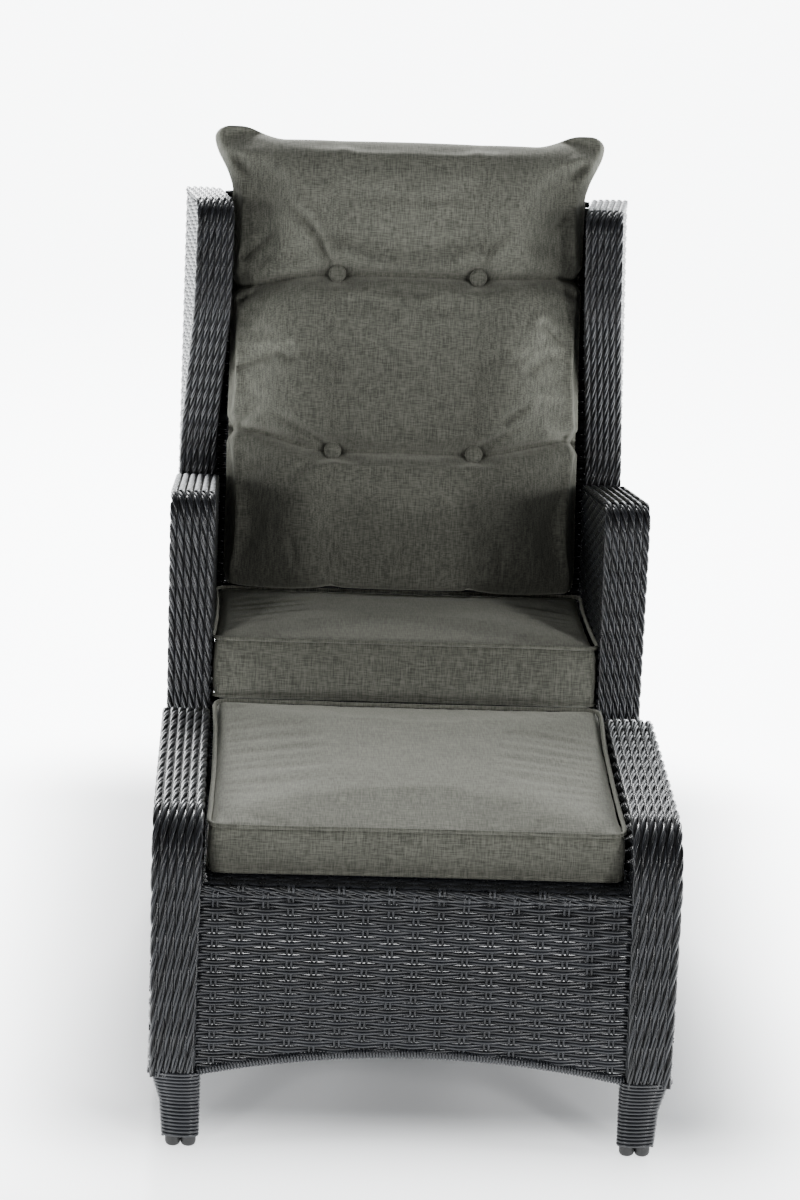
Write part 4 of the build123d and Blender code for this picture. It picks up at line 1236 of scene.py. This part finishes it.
# %% Back cushion shape
pillow_low, pillow_high, pillow_rear, pillow_depth = 77 * mm, 760 * mm, 11.8 * mm, 150 * mm
pillow_half, ear_half = 265 * mm, 290 * mm
button_x, button_rows = 107 * mm, (272 * mm, 541 * mm)


def ease(share):
    """A smooth step from 0 to 1."""
    share = max(0.0, min(1.0, share))
    return share * share * (3 - 2 * share)


def crease_height(row, x):
    """How high a row's crease runs at x: it bends beyond the buttons."""
    out = ease((abs(x) - button_x) / (pillow_half - button_x))
    bends = ((34, 28), (-18, 8))[row]
    return button_rows[row] + out * (bends[0] if x < 0 else bends[1]) * mm


def climb(share):
    """How a lobe rises from the crease below it and falls to the one above it."""
    return max(0.0, 1 - abs(2 * share - 1) ** 2.1) ** 0.66


# Depth at the side edge, at the button line and in the middle, as shares: at creases and on lobes
crease_depths = ((0.34, 0.56, 0.62), (0.44, 0.64, 0.72), (0.44, 0.64, 0.72), (0.16, 0.20, 0.22))
lobe_depths = ((0.62, 0.94, 1.0), (0.62, 0.94, 1.0), (0.60, 0.88, 0.94))


def pillow_front(x, height, half):
    """The front's distance from the back's plane at a place."""
    rows = (pillow_low, crease_height(0, x), crease_height(1, x), pillow_high + 10 * mm)
    lobe = 0 if height < rows[1] else 1 if height < rows[2] else 2
    share = max(0.0, min(1.0, (height - rows[lobe]) / (rows[lobe + 1] - rows[lobe])))
    rise = climb(share)
    edge, line, middle = (
        (a + (b - a) * share) * (1 - rise) + c * rise
        for a, b, c in zip(crease_depths[lobe], crease_depths[lobe + 1], lobe_depths[lobe])
    )
    if abs(x) > button_x:
        s = max(0.0, (half - abs(x)) / (half - button_x))
        swelling = (middle + edge + line) / 3 - (edge + line) / 2
        depth = edge + (line - edge) * sin(s * pi / 2) + 4 * s * (1 - s) * swelling
    else:
        depth = line + (middle - line) * cos(x / button_x * pi / 2) ** 0.9
    depth *= pillow_depth
    for side in (-1, 1):
        for row in button_rows:
            away = hypot(x - side * button_x, height - row)
            depth -= (depth - 95 * mm) * 2.718 ** -((away / (19 * mm)) ** 2)
    return depth


def pillow_point(across, deep, up):
    """A point of the back cushion: each share runs from -1 to 1."""
    share = (up + 1) / 2
    ear = ease((share - 0.86) / 0.12)
    half = pillow_half - 6 * mm + (ear_half - pillow_half + 6 * mm) * ear
    half -= 4 * mm * (1 - ease(share / 0.04)) + 10 * mm * ease((share - 0.985) / 0.015)
    x = across * half
    lift = 22 * mm * ease((abs(x) - 190 * mm) / (70 * mm)) - 14 * mm
    height = pillow_low + share * (pillow_high - pillow_low) + lift * ease((share - 0.75) / 0.25)
    height += 3 * mm * abs(across) ** 6 * (1 - ease(share / 0.08))
    front = pillow_front(x, min(pillow_high, height), half)
    rim = (1 - abs(across) ** 10) * (1 - max(0.0, up) ** 16)
    rear = (14 + 10 * ear) * mm * (1 - rim)
    depth = rear + (max(front, rear + (26 + 14 * ear) * mm) - rear) * (deep + 1) / 2
    if abs(across) > 0.999:
        x += (1 if x > 0 else -1) * 9 * mm * (1 - deep * deep)
    tilt = radians(13) * (1 - ease(share / 0.27))
    return Vector((x, *back_point(pillow_rear + depth * cos(tilt), height - depth * sin(tilt))))


pillow_grid, pillow_faces = box_grid((84, 10, 110))
back_pillow = new_mesh(
    "back_pillow", [pillow_point(*p) for p in pillow_grid], pillow_faces, cover_cloth
)
print("back cushion:", len(pillow_grid), "points")

# %% Swell the back cushion


def held_weights(points):
    """How firmly each point of the cover is held: buttons and rear fast, creases partly."""
    held = {}
    for index, p in enumerate(points):
        x = p[0] * pillow_half
        height = pillow_low + (p[2] + 1) / 2 * (pillow_high - pillow_low)
        if p[1] < 0:
            held[index] = 1.0
            continue
        near = min(hypot(x - s * button_x, height - r) for s in (-1, 1) for r in button_rows)
        crease = min(abs(height - crease_height(row, x)) for row in (0, 1))
        weight = max(ease(1.6 - near / (14 * mm)), 0.9 * ease(1.5 - crease / (8 * mm)))
        weight = max(weight, 0.5 * ease((p[2] - 0.93) / 0.05))
        if weight > 0.02:
            held[index] = weight
    return held


swell(back_pillow, held_weights(pillow_grid), 2.4, 20 * mm, 0.0)

# %% Creases and folds of the back cushion
# Each fold: from and to (x, height), how deep and how wide, in millimetres
folds = (
    (-118, 281, -200, 326, 10, 9), (-118, 263, -196, 212, 5, 10), (-119, 558, -168, 638, 8, 9),
    (120, 284, 182, 318, 8, 9), (116, 562, 128, 604, 5, 8), (206, 470, 246, 440, 6, 9),
    (-254, 397, -170, 428, 6.5, 10), (-107, 300, -108, 515, 2.0, 9), (107, 300, 109, 515, 2.0, 9),
    (-107, 565, -101, 650, 2.2, 9), (107, 565, 113, 640, 2.2, 9), (-104, 245, -108, 160, 2.0, 10),
    (107, 245, 112, 170, 2.0, 10), (-96, 100, -100, 150, 4, 9), (-4, 96, 2, 158, 4, 9),
    (60, 98, 66, 128, 3, 8), (-160, 100, -168, 140, 3, 9), (150, 98, 152, 132, 3, 8),
    (-250, 566, -206, 604, 7, 10), (238, 640, 212, 612, 6, 9), (262, 716, 240, 696, 8, 9),
    (-262, 712, -238, 686, 7, 9), (-256, 312, -214, 336, 9, 9), (254, 306, 214, 318, 8, 9),
    (-256, 498, -214, 522, 7, 9), (256, 520, 218, 536, 7, 9), (-200, 250, -246, 232, 4, 10),
    (-150, 606, -196, 660, 4, 10), (150, 320, 196, 356, 4, 10),
)


def near_line(x, height, fold):
    """How far a place is from a fold's line, and how far along it."""
    x0, h0, x1, h1 = (v * mm for v in fold[:4])
    run_x, run_h = x1 - x0, h1 - h0
    run = ((x - x0) * run_x + (height - h0) * run_h) / (run_x ** 2 + run_h ** 2)
    run = max(0.0, min(1.0, run))
    return hypot(x - x0 - run * run_x, height - h0 - run * run_h), run


def press_folds(piece):
    """Press creases, folds and a slow unevenness into the front of the fine mesh."""
    front = Vector((0, -cos(lean), sin(lean)))
    for vertex in piece.data.vertices:
        x = vertex.co.x
        offset = vertex.co - Vector((0, *hinge))
        reach, height = offset.dot(front), offset.dot(wing_up)
        if reach < pillow_rear + 30 * mm:
            continue
        move = noise.noise(vertex.co * 7) * 1.2 * mm + noise.noise(vertex.co * 24) * 0.25 * mm
        for row in (0, 1):
            away = abs(height - crease_height(row, x))
            if away < 30 * mm:
                move -= 11 * mm * (1 - away / (30 * mm)) ** 2
                move -= 8 * mm * max(0.0, 1 - away / (7 * mm))
                tuck = ease(1 - away / (22 * mm)) * ease((abs(x) - 215 * mm) / (45 * mm))
                vertex.co.x -= (10 * mm if x > 0 else -10 * mm) * tuck
                gather = noise.noise(Vector((x * 52, row * 7.0, height * 8)))
                move += 2.6 * mm * gather * (1 - away / (30 * mm))
        for side in (-1, 1):
            for row in button_rows:
                away = hypot(x - side * button_x, height - row)
                move -= 4 * mm * max(0.0, 1 - max(0.0, away - 12 * mm) / (9 * mm))
        for fold in folds:
            away, run = near_line(x, height, fold)
            depth, width = 1.35 * fold[4] * mm, fold[5] * mm
            if away < 3 * width:
                fade = sin(pi * min(0.5 + 0.5 * run, 1.0)) if run > 0 else 1.0
                groove = max(0.0, 1 - away / width) ** 1.5
                shoulder = 0.35 * ease(1 - abs(away / width - 1.5) / 1.5)
                move -= depth * fade * (groove - shoulder)
        vertex.co += front * move


def make_fine(piece):
    """Subdivide a cover once for good."""
    soften(piece)
    depsgraph = bpy.context.evaluated_depsgraph_get()
    bpy.context.view_layer.update()
    fine = bpy.data.meshes.new_from_object(piece.evaluated_get(depsgraph))
    piece.modifiers.clear()
    old = piece.data
    piece.data = fine
    bpy.data.meshes.remove(old)
    for polygon in piece.data.polygons:
        polygon.use_smooth = True


make_fine(back_pillow)
press_folds(back_pillow)
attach(back_pillow, "backrest")
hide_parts("back_cushion")
print("back cushion:", len(back_pillow.data.polygons), "faces")

# %% Covered buttons
button_rings = (
    (10.5, -3), (12.6, 0.0), (13.2, 2.2), (12.9, 4.2), (11.2, 6.4), (8.0, 8.0), (4.0, 8.8)
)
vertices, faces = [], []
for side in (-1, 1):
    for row in button_rows:
        ring_points, ring_faces = turned([(r * mm, h * mm) for r, h in button_rings], (0, 0), 32)
        faces += [tuple(i + len(vertices) for i in face) for face in ring_faces]
        for x, y, z in ring_points:
            vertices.append(Vector((side * button_x + x, *back_point(107.5 * mm + z, row + y))))
buttons = new_mesh("back_buttons", vertices, faces, cover_cloth)
dress(buttons, "backrest", "cushion_cloth", "back_cushion_buttons")
print("four buttons")

# %% [markdown]
# ## Decks and the back's top border
#
# The cushions lie on woven decks, which show only from below. The back's top edge is closed by
# three ropes between the wings, laid like those of the bands.

# %% Decks and border
deck_up = Vector((0, cos(seat_slope), -sin(seat_slope)))
deck_out = Vector((0, sin(seat_slope), cos(seat_slope)))
woven_panel(
    "seat_deck_weave", "chair", ["seat_deck"],
    [(-265.7 * mm, 0), (-265.7 * mm, 354 * mm), (265.7 * mm, 354 * mm), (265.7 * mm, 0)],
    (0, 43.5 * mm, 393.8 * mm), (1, 0, 0), deck_up, deck_out, flat_weave,
)
woven_panel(
    "footstool_deck_weave", "footstool", ["stool_deck"],
    [(-276 * mm, 0), (-276 * mm, 532 * mm), (276 * mm, 532 * mm), (276 * mm, 0)],
    (0, -632 * mm, 344.7 * mm), (1, 0, 0), (0, 1, 0), (0, 0, 1), flat_weave,
)
border_lines = []
for reach in (-7.6 * mm, 0, 7.6 * mm):
    border_lines.append([
        Vector((x * 281 * mm, *back_point(reach, 673.9 * mm))) for x in (-1, 0, 1)
    ])
border = grow("back_border_ropes", rope_tree, border_lines, {
    "Across": (0, -cos(lean), sin(lean)), "Turn Length": 62 * mm, "Half Width": 1.9 * mm,
    "Half Depth": 2.4 * mm, "Strand Radius": 2.1 * mm, "Step": 5.5 * mm, "Sides": 6,
    "Ply Gap": radians(78), "Material": rattan,
})
dress(border, "backrest", "rattan", "back_top_border")

# %% [markdown]
# ## Metal and plastic parts
#
# What the weave leaves open to view is powder-coated tube, a ground steel rod, a black cylinder
# and a few plastic bushes. They keep their CAD shapes, and each gets a finish by its use.

# %% Frame finishes


def plain_finish(name, color, roughness, metallic, grain, depth):
    """A finish with a fine grain, by object coordinates."""
    material, tree, shader = new_material(name, color, roughness)
    tree.fill(shader, {
        "Metallic": metallic,
        "Specular IOR Level": 0.5 if metallic else 0.3,
        "Normal": grained(tree, grain, depth),
    })
    return material


finishes = {
    "frame_tube": plain_finish("powder_coat", (0.018, 0.019, 0.021), 0.60, 0.0, 700.0, 0.30),
    "bush_plastic": plain_finish("bush_plastic", (0.10, 0.10, 0.10), 0.45, 0.0, 300.0, 0.10),
    "spring_steel": plain_finish("ground_steel", (0.62, 0.62, 0.63), 0.22, 1.0, 900.0, 0.06),
    "spring_black": plain_finish("black_paint", (0.022, 0.022, 0.023), 0.30, 0.0, 240.0, 0.08),
    "lever_metal": plain_finish("lever_coat", (0.012, 0.012, 0.014), 0.62, 0.0, 700.0, 0.25),
}
finished = 0
for entry in frame["record"]["subparts"]:
    if entry["material_slot"] in finishes:
        node = frame["nodes"][entry["node"]]
        node.data.materials.clear()
        node.data.materials.append(finishes[entry["material_slot"]])
        finished += 1
print(finished, "CAD nodes finished")
